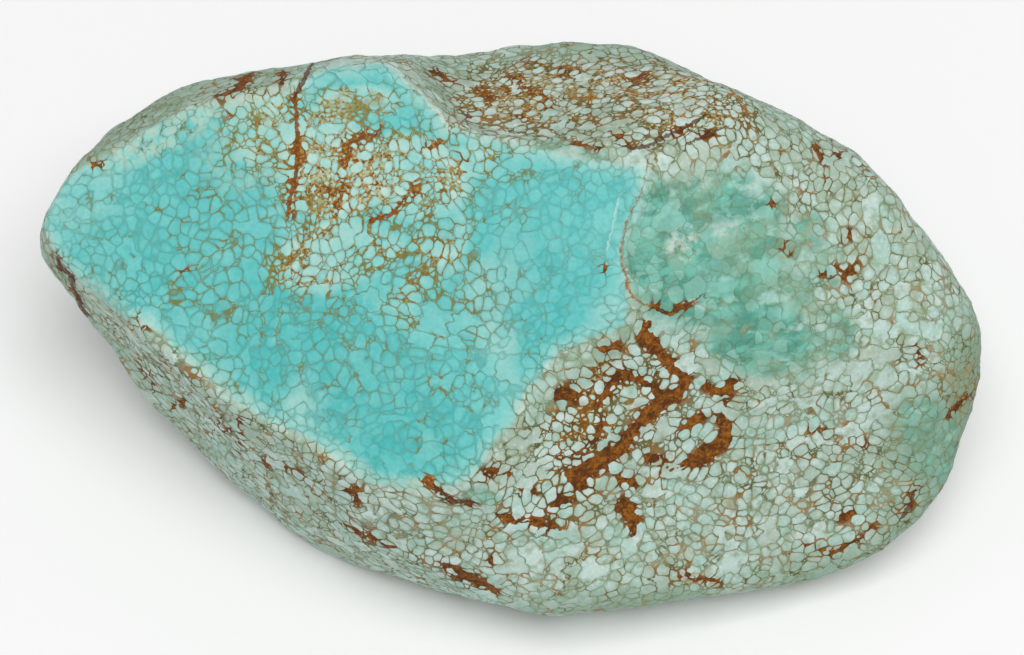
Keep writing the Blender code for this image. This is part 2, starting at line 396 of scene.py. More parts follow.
VEINS_ON_THE_LOBE = [
    [(-6.6, 20.6, 0.4), (-5.5, 19.9, 0.3), (-4.7, 19.7, 0.2), (-3.8, 19.1, 0.2)],
    [(-2.8, 19.2, 0.2), (-2.2, 18.6, 0.6), (-1.6, 18.2, 0.3)],
    [(-0.6, 19.2, 0.1), (0.6, 18.8, 0.3), (1.8, 18.9, 0.2)],
    [(2.2, 18.6, 0.2), (3.0, 17.8, 0.2)],
    [(-0.4, 20.0, 0.1), (0.6, 19.9, 0.2)],
    [(3.8, 20.8, 0.1), (5.4, 20.3, 0.2)],
    [(0.6, 21.6, 0.2), (2.0, 21.4, 0.2)],
    [(-3.6, 16.6, 0.2), (-3.0, 17.2, 0.3)],
    [(0.6, 17.0, 0.2), (1.3, 16.7, 0.2)],
    [(9.6, 20.0, 0.5), (10.8, 19.9, 0.5)],
    [(5.0, 14.7, 0.4), (6.9, 14.5, 0.4)],
    [(8.4, 15.3, 0.5), (8.8, 15.3, 0.4)],
    [(9.3, 14.9, 0.6), (9.6, 14.9, 0.4)],
    [(12.2, 15.4, 0.4), (13.2, 15.8, 0.8), (13.9, 16.2, 0.4)],
    [(15.0, 15.2, 0.4), (15.8, 15.5, 0.5)],
    [(-33.9, 13.0, 0.4), (-32.8, 13.1, 0.3)],
]
VEINS_AT_THE_BLUNT_END = [
    [(24.5, 14.4, 0.4), (24.9, 13.8, 0.6), (25.3, 13.2, 0.4)],
    [(26.0, 14.1, 0.3), (26.7, 13.8, 0.4)],
    [(25.4, 11.8, 0.5), (25.6, 11.2, 0.4)],
    [(26.0, 4.9, 0.4), (26.8, 4.1, 0.7), (27.7, 5.2, 0.3)],
    [(25.0, 4.3, 0.5), (25.8, 4.2, 0.3)],
    [(27.0, 7.6, 0.4), (26.6, 6.9, 0.4)],
    [(20.8, 10.1, 0.5), (20.8, 9.7, 0.5)],
    [(21.7, 6.6, 0.4), (22.1, 6.1, 0.4)],
    [(26.4, -15.4, 0.6), (27.1, -15.0, 0.5)],
    [(23.6, -17.4, 0.3), (24.7, -17.8, 0.4), (25.8, -18.0, 0.4), (27.8, -17.0, 0.3), (29.3, -15.9, 0.3)],
    [(28.2, -9.3, 0.4), (28.5, -9.6, 0.3)],
    [(24.0, -8.1, 0.4), (25.4, -8.2, 0.4)],
    [(31.4, -14.6, 0.4), (32.4, -12.9, 0.4)],
    [(36.4, -5.4, 0.4), (37.0, -5.5, 0.4)],
    [(31.9, -1.3, 0.2), (32.6, -2.0, 0.3), (32.9, -2.9, 0.4)],
    [(36.6, -5.3, 0.3), (35.5, -6.5, 0.2), (34.9, -7.2, 0.1)],
    [(13.0, -20.0, 0.3), (14.2, -19.8, 0.4), (15.6, -20.2, 0.4), (16.6, -20.4, 0.2)],
]
all_veins = (
    VEINS_BESIDE_THE_WINDOW
    + VEINS_BELOW_THE_WINDOW
    + VEINS_IN_THE_WINDOW
    + VEINS_ON_THE_LOBE
    + VEINS_AT_THE_BLUNT_END
)
FINE_VEIN_REACH = (-0.6, -0.1)  # mm off a fine vein's line, where its brown starts and where it is full
FINE_VEIN_STAIN = 0.62  # how brown the seams get on a fine vein
paint("iron", FAR + (depth_in(all_veins) - FAR) * facing)
fine_stain = FINE_VEIN_STAIN * steps(depth_in(FINE_VEINS_IN_THE_WINDOW), *FINE_VEIN_REACH)
paint("fine_veins", fine_stain * facing)
print(len(all_veins), "rusty strokes and", len(FINE_VEINS_IN_THE_WINDOW), "fine ones")

# %% [markdown]
# ## Thin cracks and pale scars
#
# A crack of 0.2 mm is narrower than the mesh's grain. A plain distance to it would lose its lowest point
# between two mesh points, and the line would break up. The distance is therefore given a sign: positive
# on one side of the crack and negative on the other. It then passes through zero in a straight way, and
# the crack stays whole. A second number holds its half width, and is zero away from the crack. Four kinds
# are drawn this way: dark cracks, the rusty lines that keep the narrow veins from breaking up, tan cracks
# beside the teal patch, and pale scars.

# %% Paint the cracks and scars
NEAR_LINE = (0.6, 0.9)  # mm from a line, where its width starts to fade and where it is gone
DARK_CRACKS = [
    [(-16.0, 21.2, 0.2), (-16.3, 20.7, 0.35), (-16.8, 19.6, 0.35), (-17.2, 19.0, 0.3), (-17.4, 18.6, 0.1)],
    [(8.6, 14.6, 0.1), (9.6, 14.4, 0.25), (11.0, 14.6, 0.3), (12.4, 15.4, 0.3), (14.2, 16.3, 0.25),
     (15.4, 17.0, 0.2)],
    [(14.4, 14.9, 0.15), (15.6, 15.4, 0.3), (16.8, 16.0, 0.15)],
    [(-36.5, 5.7, 0.2), (-36.4, 4.8, 0.3), (-35.4, 4.2, 0.3), (-34.9, 2.4, 0.3), (-33.9, 0.4, 0.2)],
    [(-5.8, -13.1, 0.3), (-4.6, -14.0, 0.3), (-3.3, -13.9, 0.15)],
    [(32.3, -13.4, 0.15), (31.9, -14.2, 0.35), (31.2, -15.2, 0.2)],
]
RUSTY_LINES = [
    [(-17.4, 18.6, 0.25), (-17.3, 17.0, 0.3), (-17.2, 15.4, 0.4), (-17.2, 14.2, 0.45), (-17.3, 12.6, 0.35)],
    [(-17.3, 12.6, 0.35), (-17.4, 11.9, 0.3), (-17.9, 10.1, 0.4), (-18.0, 9.0, 0.2)],
    [(-23.6, 18.5, 0.2), (-22.5, 19.0, 0.35), (-21.7, 19.7, 0.5), (-20.1, 21.0, 0.2)],
    [(-13.4, 14.6, 0.2), (-12.4, 15.0, 0.3), (-10.8, 15.8, 0.15)],
    [(-11.3, 8.6, 0.15), (-9.6, 9.2, 0.2), (-8.7, 10.2, 0.2)],
    [(11.6, 1.7, 0.2), (12.6, 1.0, 0.3), (13.6, 1.6, 0.3), (15.0, 2.5, 0.15)],
    [(-6.6, -12.4, 0.2), (-5.8, -13.1, 0.3), (-4.4, -14.0, 0.2), (-2.6, -14.2, 0.1)],
]
TAN_CRACKS = [
    [(11.0, 13.5, 0.1), (10.7, 12.2, 0.1), (10.4, 10.9, 0.12), (9.9, 9.8, 0.15), (9.3, 8.7, 0.25),
     (9.0, 7.6, 0.25)],
    [(9.0, 7.6, 0.25), (8.8, 6.4, 0.3), (8.8, 5.2, 0.25), (9.2, 4.0, 0.3), (9.3, 3.2, 0.25),
     (9.8, 2.4, 0.2)],
    [(9.8, 2.4, 0.25), (10.6, 1.9, 0.2), (11.4, 1.8, 0.2)],
]
PALE_SCARS = [
    [(-8.9, 20.2, 0.2), (-8.7, 19.9, 0.3), (-7.5, 19.1, 0.35), (-6.8, 18.2, 0.35), (-5.7, 17.0, 0.35),
     (-5.1, 16.0, 0.2)],
    [(8.6, 10.4, 0.1), (8.3, 9.2, 0.2), (8.2, 8.5, 0.1)],
    [(8.2, 8.9, 0.1), (8.0, 7.9, 0.22), (7.9, 7.2, 0.1)],
    [(7.9, 7.7, 0.1), (7.7, 6.6, 0.2), (7.7, 6.2, 0.1)],
]


def paint_lines(name, strokes):
    """Paints two numbers for thin lines: name_side and name_width."""
    nearest = np.full(len(places), np.inf)
    side = np.full(len(places), np.inf)
    half_width = np.zeros(len(places))
    for stroke in strokes:
        for start, end in segments(stroke):
            signed, away, width = side_and_width(start, end)
            closer = away < nearest
            nearest = np.where(closer, away, nearest)
            side = np.where(closer, signed, side)
            half_width = np.where(closer, width / 2, half_width)
    paint(name + "_side", np.clip(side, FAR, -FAR))
    paint(name + "_width", half_width * (1 - steps(nearest, *NEAR_LINE)) * facing)


paint_lines("crack", DARK_CRACKS)
paint_lines("rusty_line", RUSTY_LINES)
paint_lines("tan_crack", TAN_CRACKS)
paint_lines("scar", PALE_SCARS)

# %% [markdown]
# ## Soft stains
#
# Between the veins the stone changes slowly: some parts have browner seams, some are crushed into small
# pebbles or welded into big cells, in quiet parts of the blue the seams nearly vanish, one broad patch is
# a deeper, streaky teal, and some rims are bleached. One set is painted shade, not a stain: it darkens the
# skin towards the stone's outline and on some slopes. Each is a few soft oval spots: (across, up, half
# length, half height, turn in degrees, strength).

# %% Paint the stains
STAINS = {
    "brown_seams": [
        (-16.0, 6.0, 20.0, 13.0, 12, 0.38),
        (-31.0, 8.5, 6.0, 5.0, 20, 0.3),
        (-3.0, 6.0, 8.0, 10.0, 0, 0.33),
        (-14.5, 12.8, 7.0, 7.0, 0, 0.9),
        (-8.0, 12.0, 7.0, 5.5, -20, 0.9),
        (-6.0, 8.0, 4.5, 5.0, 0, 0.7),
        (-1.5, 13.2, 6.0, 2.4, -5, 0.7),
        (-3.5, 10.5, 3.5, 2.5, 0, 0.4),
        (4.5, 12.8, 4.0, 1.3, -12, 0.4),
        (-14.0, 6.0, 9.0, 4.5, 10, 0.8),
        (-12.0, 18.0, 5.5, 2.2, 0, 0.7),
        (-20.5, 16.0, 4.5, 5.0, 0, 0.7),
        (-20.0, 7.5, 8.0, 3.0, 32, 0.5),
        (-26.0, 3.0, 6.0, 1.6, 40, 0.5),
        (-12.0, 0.0, 4.0, 9.0, 10, 0.45),
        (-5.0, 2.0, 8.0, 6.0, 0, 0.6),
        (-4.0, -5.0, 4.0, 4.0, 0, 0.35),
        (2.0, 18.5, 9.0, 4.5, 0, 0.8),
        (12.0, 18.5, 11.0, 4.5, -15, 0.8),
        (10.0, -7.0, 9.0, 7.0, 20, 0.6),
        (7.0, -4.5, 4.5, 2.5, 30, 0.9),
        (5.5, -9.0, 5.0, 4.5, 20, 0.9),
        (3.0, -14.0, 7.0, 4.0, 0, 0.6),
        (27.0, 6.0, 5.5, 8.5, -20, 0.32),
        (21.8, 6.5, 3.5, 5.0, 0, 0.38),
        (18.5, -1.0, 6.0, 3.5, -15, 0.3),
        (12.2, 3.0, 2.4, 2.4, 0, 0.2),
        (17.5, 12.5, 4.5, 2.0, 0, 0.4),
        (25.0, -12.0, 10.0, 7.0, 0, 0.5),
        (14.0, -16.0, 8.0, 3.5, 0, 0.4),
        (31.5, -5.0, 4.0, 5.0, 0, 0.35),
        (-24.0, -6.0, 14.0, 4.5, -35, 0.35),
        (-9.0, -16.5, 9.0, 4.0, -20, 0.5),
        (-29.5, 0.5, 1.6, 1.3, 0, 0.9),
    ],
    "pebbles": [
        (-12.6, 17.5, 3.4, 1.9, -10, 1.0),
        (-15.6, 13.0, 2.2, 3.6, 0, 0.9),
        (-15.2, 10.4, 2.6, 1.4, 0, 0.9),
        (-18.4, 9.8, 1.8, 1.2, 0, 0.8),
        (-20.3, 15.6, 1.8, 2.2, -15, 0.8),
        (-22.8, 15.6, 1.0, 1.6, 0, 0.6),
        (-7.6, 16.0, 1.2, 1.4, -30, 0.8),
        (-11.5, 15.2, 3.0, 1.2, 25, 0.8),
        (-7.0, 11.5, 6.5, 4.5, 0, 0.55),
        (-14.5, 12.0, 7.0, 7.0, 0, 0.5),
        (-9.5, 5.0, 4.0, 2.0, 0, 0.7),
        (-18.0, 3.5, 4.0, 4.0, 0, 0.6),
        (-13.0, 3.0, 11.0, 6.0, 0, 0.4),
        (2.0, 18.6, 9.0, 4.0, 0, 0.8),
        (13.0, 18.0, 9.0, 3.5, -15, 0.65),
        (5.5, -8.0, 5.0, 6.0, -30, 0.55),
        (11.0, -7.0, 8.0, 6.0, 0, 0.45),
        (27.0, 3.0, 5.0, 8.0, 0, 0.2),
        (24.0, -13.0, 11.0, 6.0, 0, 0.2),
        (4.8, 14.0, 3.4, 1.4, -12, 0.8),
        (-27.0, -2.4, 2.6, 1.2, -36, 0.8),
        (-32.8, 2.8, 2.4, 1.0, -45, 0.6),
    ],
    "sandy": [
        (-12.6, 17.5, 4.0, 2.2, -10, 0.75),
        (-20.3, 16.0, 2.6, 3.4, -15, 0.7),
        (-15.2, 12.5, 3.2, 4.5, 0, 0.55),
        (-18.6, 9.8, 2.2, 1.6, 0, 0.6),
        (-7.6, 16.0, 2.0, 2.0, 0, 0.7),
        (-9.0, 12.0, 7.0, 4.0, 0, 0.3),
        (2.0, 18.6, 9.0, 4.0, 0, 1.15),
        (12.0, 18.5, 10.0, 4.0, -15, 1.0),
    ],
    "big_cells": [
        (-11.5, 20.0, 5.0, 1.6, 0, 0.8),
        (-10.6, 17.9, 1.6, 2.2, 0, 0.7),
        (-7.6, 17.2, 1.6, 2.4, 40, 0.6),
        (-19.4, 13.0, 1.8, 3.0, 0, 0.5),
        (-10.8, 2.2, 3.0, 2.4, 0, 0.6),
        (-25.0, 9.5, 3.5, 3.5, 0, 0.45),
        (-32.0, 8.0, 4.0, 3.0, 0, 0.4),
        (-19.5, -3.6, 4.0, 2.2, -30, 0.5),
        (-9.6, -9.6, 4.5, 3.0, 0, 0.7),
        (-4.4, -9.6, 2.6, 2.2, 0, 0.5),
        (6.0, 1.0, 3.5, 1.5, 20, 0.4),
        (1.0, -12.0, 2.6, 2.2, 0, 0.6),
        (13.0, -3.0, 2.2, 1.6, 0, 0.8),
        (16.0, 6.5, 7.0, 6.5, 0, 0.75),
        (19.5, -0.5, 6.0, 3.5, -20, 0.7),
        (15.5, -16.0, 6.0, 3.0, 0, 0.35),
        (28.0, 8.0, 3.5, 4.5, 0, 0.35),
        (20.0, 12.5, 4.0, 2.0, 0, 0.35),
        (5.0, -19.0, 6.0, 2.0, 0, 0.3),
        (23.0, -14.5, 7.0, 3.5, 0, 0.4),
        (2.5, -17.0, 5.0, 2.0, 0, 0.4),
        (22.0, -8.5, 4.0, 3.0, 0, 0.45),
    ],
    "quiet": [
        (4.5, 6.0, 5.5, 7.0, 0, 0.9),
        (8.0, 9.5, 3.0, 4.0, 0, 0.9),
        (-35.5, 8.5, 3.5, 3.0, 30, 0.7),
        (-11.0, -9.8, 4.5, 2.5, -20, 0.5),
        (-11.0, 19.8, 4.0, 1.6, 0, 0.4),
    ],
    "teal_patch": [
        (16.5, 6.0, 8.0, 8.0, 0, 1.0),
        (12.6, 6.0, 3.2, 7.5, 8, 1.0),
        (10.9, 6.3, 2.4, 6.2, 8, 1.2),
        (22.0, 5.0, 5.0, 7.0, -35, 0.6),
        (19.5, -0.5, 6.5, 4.0, -20, 0.9),
        (25.5, -0.5, 3.5, 3.5, 0, 0.55),
        (16.0, 10.5, 5.5, 3.0, 0, 0.8),
        (5.0, 14.0, 5.0, 1.2, -10, 0.6),
        (33.4, -9.0, 3.2, 5.0, 20, 0.55),
        (-2.5, -13.6, 2.2, 1.5, -20, 0.5),
    ],
    "bleached": [
        (13.6, 6.6, 1.6, 1.5, 0, 1.0),
        (14.7, 12.3, 2.2, 1.9, 0, 0.5),
        (-33.5, 3.0, 3.0, 1.1, -45, 0.45),
        (-27.5, 15.5, 6.5, 1.5, 28, 0.8),
        (-21.0, 17.4, 6.0, 2.6, 10, 0.5),
        (-21.5, 13.5, 4.5, 3.5, 0, 0.4),
        (-24.0, -3.9, 7.0, 0.7, -36, 0.3),
        (-12.5, -11.1, 3.5, 0.7, -38, 0.45),
        (-7.5, -12.7, 3.0, 0.8, -5, 0.7),
        (-18.5, 17.0, 6.0, 1.5, 12, 0.4),
        (17.0, 7.9, 2.4, 0.7, 0, 0.6),
        (-6.5, 17.4, 2.5, 1.2, -48, 0.35),
    ],
    "tanned": [
        (24.2, 7.4, 1.6, 1.3, 0, 0.8),
        (22.8, 9.0, 1.8, 1.4, -30, 0.6),
        (21.8, 6.3, 1.2, 1.2, 0, 0.7),
        (28.0, 3.5, 2.5, 2.5, 0, 0.35),
        (15.4, -20.1, 2.2, 0.8, -5, 1.2),
        (34.0, -2.1, 0.6, 1.2, 0, 1.2),
        (35.0, -3.9, 1.3, 0.7, -20, 0.8),
        (36.9, -3.5, 0.8, 1.8, 0, 0.8),
        (12.0, -11.0, 0.9, 0.9, 0, 0.5),
        (17.4, -14.2, 0.9, 1.2, 0, 0.6),
        (31.0, 2.0, 3.0, 1.6, 0, 0.3),
        (-12.0, 17.9, 3.4, 1.3, 0, 0.8),
        (8.0, 13.4, 4.0, 0.8, -12, 0.25),
        (36.0, -5.0, 1.6, 2.0, 0, 0.5),
        (-32.0, 1.6, 2.5, 1.0, -30, 0.35),
        (6.0, 18.6, 14.0, 4.6, -8, 0.35),
        (28.0, 4.0, 6.0, 9.0, 0, 0.15),
        (28.0, -8.0, 8.0, 6.0, 0, 0.1),
        (12.0, -17.0, 18.0, 4.0, 8, 0.12),
        (9.0, -7.0, 7.0, 6.0, 20, 0.15),
    ],
    "deep_blue": [
        (-23.0, 10.5, 5.0, 5.0, 0, 0.35),
        (-16.0, -2.0, 12.0, 7.0, -30, 0.65),
        (-9.0, -8.0, 6.0, 4.5, 0, 0.8),
        (0.0, 3.0, 9.0, 6.0, 0, 0.45),
        (-29.0, 6.0, 7.0, 4.0, 0, 0.3),
    ],
    # painted shade, not a stain: these spots darken the skin towards the stone's outline and on some slopes
    "greyed": [
        (37.0, -6.0, 3.5, 8.0, 0, 1.0),
        (33.8, -9.5, 5.0, 6.0, 20, 0.9),
        (33.0, -14.5, 6.0, 3.0, 50, 0.8),
        (24.0, -20.0, 8.0, 3.0, 15, 0.6),
        (10.0, -22.5, 12.0, 2.2, 0, 0.6),
        (-30.0, 16.5, 8.0, 1.6, 35, 0.6),
        (-21.0, 20.0, 6.0, 1.6, 18, 0.5),
        (-5.0, 20.5, 3.0, 3.0, 0, 0.35),
        (10.0, 22.5, 12.0, 1.8, -5, 0.5),
        (-36.0, 2.0, 2.0, 6.0, 20, 0.5),
        (6.0, -3.5, 1.3, 9.0, -48, 0.45),
    ],
}
for name, marks in STAINS.items():
    paint(name, spots(marks) * facing)
paint("face", facing)

# %% [markdown]
# The web is worked out from each point's place in the stone. The relief made below moves the points a
# little, so their places are kept now, in millimetres, before anything moves. Both the relief and the
# colour read the kept place, and the seams in the colour stay exactly on the grooves in the mesh.

# %% Keep every point's place
place_layer = stone.data.attributes.new("place", "FLOAT_VECTOR", "POINT")
place_layer.data.foreach_set("vector", places.astype(np.float32).ravel())
print("kept the places of", len(places), "points")

# %% [markdown]
# ## A short way to write nodes
#
# Materials and Geometry Nodes are both trees of small steps. Placing each step by hand takes five lines,
# and the looks here need many steps, so this helper adds one step a call and returns its result. It works
# on both kinds of tree, which is what lets the relief and the colour share one web.

# %% A workbench for node trees
SHIFTS = {  # mm, moves that keep the noises from repeating each other
    "small pebbles": (5, 43, 11),
    "back veins": (3, 61, 17),
    "vein breaks": (71, 2, 9),
    "blotch": (2, 90, 4),
    "slow": (55, 5, 25),
    "waver": (6, 6, 60),
    "tint": (12, 70, 33),
    "clouds": (40, 3, 7),
    "mottle": (8, 80, 1),
}


class Bench:
    """Adds nodes to a tree by plain calls. A value may be a number, a colour or another node's result."""

    def __init__(self, tree):
        self.tree = tree

    def add(self, kind, **settings):
        node = self.tree.nodes.new(kind)
        for name, value in settings.items():
            setattr(node, name, value)
        return node

    def feed(self, socket, value):
        if isinstance(value, bpy.types.NodeSocket):
            self.tree.links.new(value, socket)
        else:
            socket.default_value = value

    def painted(self, name, kind="FLOAT"):
        """A number, or a place, that was painted on the points."""
        if self.tree.bl_idname == "GeometryNodeTree":
            node = self.add("GeometryNodeInputNamedAttribute", data_type=kind)
            node.inputs["Name"].default_value = name
            return node.outputs["Attribute"]
        node = self.add("ShaderNodeAttribute", attribute_name=name)
        return node.outputs["Fac" if kind == "FLOAT" else "Vector"]

    def kept(self, geometry, name, value, kind="FLOAT"):
        """Keeps a worked-out number or place on the points, for the material to read."""
        node = self.add("GeometryNodeStoreNamedAttribute", data_type=kind, domain="POINT")
        node.inputs["Name"].default_value = name
        self.feed(node.inputs["Geometry"], geometry)
        self.feed(node.inputs["Value"], value)
        return node.outputs["Geometry"]

    def math(self, operation, *values):
        node = self.add("ShaderNodeMath", operation=operation)
        for socket, value in zip(node.inputs, values):
            self.feed(socket, value)
        return node.outputs[0]

    def times(self, value, factor):
        return self.math("MULTIPLY", value, factor)

    def plus(self, value, factor, base):
        """The base, plus the value times the factor."""
        return self.math("MULTIPLY_ADD", value, factor, base)

    def larger(self, one, other):
        return self.math("MAXIMUM", one, other)

    def soft(self, value, start, full, strength):
        """A share that is 0 at start and this strong from full on."""
        return self.times(self.fade(value, start, full), strength)

    def plus_soft(self, base, value, start, full, strength):
        """The base, plus such a share."""
        return self.plus(self.fade(value, start, full), strength, base)

    def rest(self, value):
        """What is left of 1."""
        return self.math("SUBTRACT", 1.0, value)

    def vector(self, operation, *values):
        node = self.add("ShaderNodeVectorMath", operation=operation)
        sockets = [socket for socket in node.inputs if socket.enabled]
        for socket, value in zip(sockets, values):
            self.feed(socket, value)
        return node.outputs[0]

    def scaled(self, arrow, factor):
        """An arrow or a colour, made this many times as long or as bright."""
        node = self.add("ShaderNodeVectorMath", operation="SCALE")
        self.feed(node.inputs[0], arrow)
        self.feed(node.inputs["Scale"], factor)
        return node.outputs[0]

    def fade(self, value, start, end):
        """0 at start, 1 at end, smooth between them; start may be the larger."""
        node = self.add("ShaderNodeMapRange", interpolation_type="SMOOTHSTEP")
        for name, given in (("Value", value), ("From Min", start), ("From Max", end)):
            self.feed(node.inputs[name], given)
        return node.outputs["Result"]

    def blend(self, amount, low, high):
        """A colour from low to high as the amount goes from 0 to 1."""
        node = self.add("ShaderNodeMix", data_type="RGBA")
        for socket, value in ((node.inputs[0], amount), (node.inputs[6], low), (node.inputs[7], high)):
            self.feed(socket, value)
        return node.outputs[2]

    def between(self, amount, low, high):
        """A number from low to high as the amount goes from 0 to 1."""
        node = self.add("ShaderNodeMix", data_type="FLOAT")
        for socket, value in ((node.inputs[0], amount), (node.inputs[2], low), (node.inputs[3], high)):
            self.feed(socket, value)
        return node.outputs[0]

    def noise(self, place, size, detail=2.0, output="Factor"):
        """Cloudy noise with clouds of this size in mm, mostly between 0.3 and 0.7."""
        node = self.add("ShaderNodeTexNoise")
        self.feed(node.inputs["Vector"], place)
        node.inputs["Scale"].default_value = 1 / size
        node.inputs["Detail"].default_value = detail
        return node.outputs[0 if output == "Factor" else 1]

    def shifted(self, place, noise):
        """The same place, moved for this noise."""
        return self.vector("ADD", place, SHIFTS[noise])

    def cells(self, place, size, scatter=1.0):
        """Cells of this size: the gap to the next cell and the distance to the own middle, both in mm, a
        random colour for the cell, and where its middle and the next cell's middle are."""
        nearest = self.add("ShaderNodeTexVoronoi", feature="F1")
        second = self.add("ShaderNodeTexVoronoi", feature="F2")
        for node in (nearest, second):
            self.feed(node.inputs["Vector"], place)
            node.inputs["Scale"].default_value = 1 / size
            node.inputs["Randomness"].default_value = scatter
        gap = self.math("SUBTRACT", second.outputs["Distance"], nearest.outputs["Distance"])
        gap = self.times(gap, size / 2)
        from_middle = self.times(nearest.outputs["Distance"], size)
        middles = (nearest.outputs["Position"], second.outputs["Position"])
        return gap, from_middle, nearest.outputs["Color"], middles

    def channels(self, colour):
        if self.tree.bl_idname == "GeometryNodeTree":
            node = self.add("FunctionNodeSeparateColor")
        else:
            node = self.add("ShaderNodeSeparateColor")
        self.feed(node.inputs[0], colour)
        return node.outputs[0], node.outputs[1], node.outputs[2]


print("the bench can", ", ".join(name for name in vars(Bench) if not name.startswith("_")))

# %% [markdown]
# ## The web
#
# Spiderweb matrix is a foam of rounded turquoise pebbles with brown seams between them. Blender's Voronoi
# texture makes such a foam: the difference between the distances to a point's second nearest and nearest
# cell middles is zero on a seam and grows into the cell. Its cells have sharp corners, so each is also
# kept inside a ball around its own middle, which rounds it off as a pebble, and small pebbles fill the
# gaps between the balls, as in gravel. One size of pebble looks like a net. So some neighbours are welded
# into one large, lumpy cell: those whose middles share a cell of a second, coarser foam.

# %% Grow the web
LARGE, MIDDLING, SMALL = 1.9, 0.94, 0.46  # mm, the sizes of the cells
SCATTER = 0.95  # how unevenly the cells' middles are scattered, from 0, a grid, to 1
MIDDLING_REACH = (0.70, 0.54)  # mm, how far a middling one reaches in calm stone, and in crushed stone
SMALL_REACH = (0.38, 0.22)  # mm, the same for a small one
REACH_VARIES = 0.4  # mm, the spread in how far the middling ones reach where the stone is crushed
ROUNDING = 0.13  # mm, how much the corners of a pebble are rounded
WANDER = ((8.0, 2.0), (3.0, 0.8), (1.2, 0.3))  # mm: slow bends of the seams, their size and strength
TREMBLE = (0.4, 0.2)  # mm: fine bends of the seams
WELDED_SHARE = (0.3, 0.26)  # how many of the coarse foam's cells are welded in the skin, and in the blue
WELDED_EDGE = (-0.3, 0.3)  # mm inside the window, from the skin's share of welded cells to the blue's
CRUSHING_PARTS = 1.3  # how strongly crushing undoes the welds
WELD = 0.5  # mm, how far inside its pebble a point on a welded seam seems to lie
SAME_TONE = 0.0001  # two tones nearer than this are the same cell's


def bend(bench, place, size, strength):
    """The place pushed about by noise, so that straight seams wander."""
    push = bench.noise(place, size, 0.0, output="Color")
    push = bench.vector("SUBTRACT", push, (0.5, 0.5, 0.5))
    push = bench.vector("MULTIPLY", push, (strength, strength, strength))
    return bench.vector("ADD", place, push)


def pebble(bench, gap, from_middle, reach):
    """How deep a point lies in its pebble, in mm; negative outside."""
    return bench.math("SMOOTH_MIN", gap, bench.math("SUBTRACT", reach, from_middle), ROUNDING)


def coarse_cell(bench, middle):
    """Two random numbers of the coarse cell round a pebble's middle: one to pick it by, and its tone."""
    coarse = bench.add("ShaderNodeTexVoronoi", feature="F1")
    bench.feed(coarse.inputs["Vector"], middle)
    coarse.inputs["Scale"].default_value = 1 / LARGE
    coarse.inputs["Randomness"].default_value = SCATTER
    return bench.channels(coarse.outputs["Color"])[:2]


def grow_web(bench):
    """How deep the point lies in its pebble, in mm from the seam, and a random tone for that pebble."""
    bent = bend(bench, bench.painted("bent", "FLOAT_VECTOR"), *TREMBLE)
    gap, from_middle, colour, (own, neighbour) = bench.cells(bent, MIDDLING, SCATTER)
    pick, tone, _ = bench.channels(colour)
    coarse_pick, coarse_tone = coarse_cell(bench, own)
    _, next_tone = coarse_cell(bench, neighbour)

    share = bench.between(bench.fade(bench.painted("window"), *WELDED_EDGE), *WELDED_SHARE)
    share = bench.larger(share, bench.painted("big_cells"))
    crushed = bench.painted("pebbles")
    share = bench.times(share, bench.rest(bench.times(crushed, CRUSHING_PARTS)))
    welded = bench.math("LESS_THAN", coarse_pick, share)
    tone = bench.between(welded, tone, coarse_tone)
    hidden = bench.times(welded, bench.math("COMPARE", coarse_tone, next_tone, SAME_TONE))
    gap = bench.plus(hidden, WELD, gap)

    shrunk = bench.times(crushed, pick)
    reach = bench.plus(shrunk, -REACH_VARIES, bench.between(crushed, *MIDDLING_REACH))
    reach = bench.plus(welded, WELD, reach)
    depth = pebble(bench, gap, from_middle, reach)

    gap, from_middle, colour, _ = bench.cells(bench.shifted(bent, "small pebbles"), SMALL)
    small = pebble(bench, gap, from_middle, bench.between(crushed, *SMALL_REACH))
    small = bench.math("MINIMUM", small, bench.times(depth, -1.0))
    small_tone = bench.channels(colour)[1]
    tone = bench.between(bench.math("GREATER_THAN", depth, 0.0), small_tone, tone)
    return bench.larger(depth, small), tone


print("pebbles of", LARGE, MIDDLING, "and", SMALL, "mm")

# %% [markdown]
# ## Slow changes, worked out once
#
# A material is worked out again for every ray that meets the stone, so each noise in it costs time. Noise
# whose clouds are wider than the mesh's grain loses nothing if it is worked out once at each point and
# kept there. Geometry Nodes do that here for the web's slow bends, the stains' clouds, and the wavering
# edge of the window, the teal patch and the iron. On the back, where nothing was drawn, slow noise says
# where the iron veins run, so that side has the same kind of marks.

# %% Work out the slow changes
EDGE_WAVER = 1.3  # mm, how far blotches move the window's edge
PATCH_WAVER = 1.2  # how much blotches change the teal patch's strength
BLOTCH, TINT, SLOW, CLOUD = 1.6, 3.2, 5.0, 7.0  # mm, the sizes of the slow noises' clouds
VEIN_WAVER = ((0.9, 1.0), (2.6, 0.5))  # mm: size and strength of the noise on a vein's edge
STAIN_WAVER = 0.8  # how much slow noise changes the browning of the seams
SKIN_CRUSHED = 0.14  # how crushed the skin is where nothing was drawn
CRUSHED_PATCHES = (0.25, 0.55)  # the noise that breaks a crushed part into patches
HIDDEN_STAIN = 0.45  # how brown the seams are where nothing was drawn
BACK_VEIN_SIZE = 11.0  # mm, the size of the slow noise that the back's veins follow
BACK_VEIN_HALF = 0.028  # how near to its middle value that noise is inside a vein
BACK_VEIN_BREAKS = (0.48, 0.6)  # the noise that breaks those veins into lengths
BACK_VEIN_DEPTH = (-1.2, 1.5)  # mm: the depth off a vein, and how much more there is on its middle


def off_middle(bench, noise):
    """Noise made to swing about zero."""
    return bench.math("SUBTRACT", noise, 0.5)


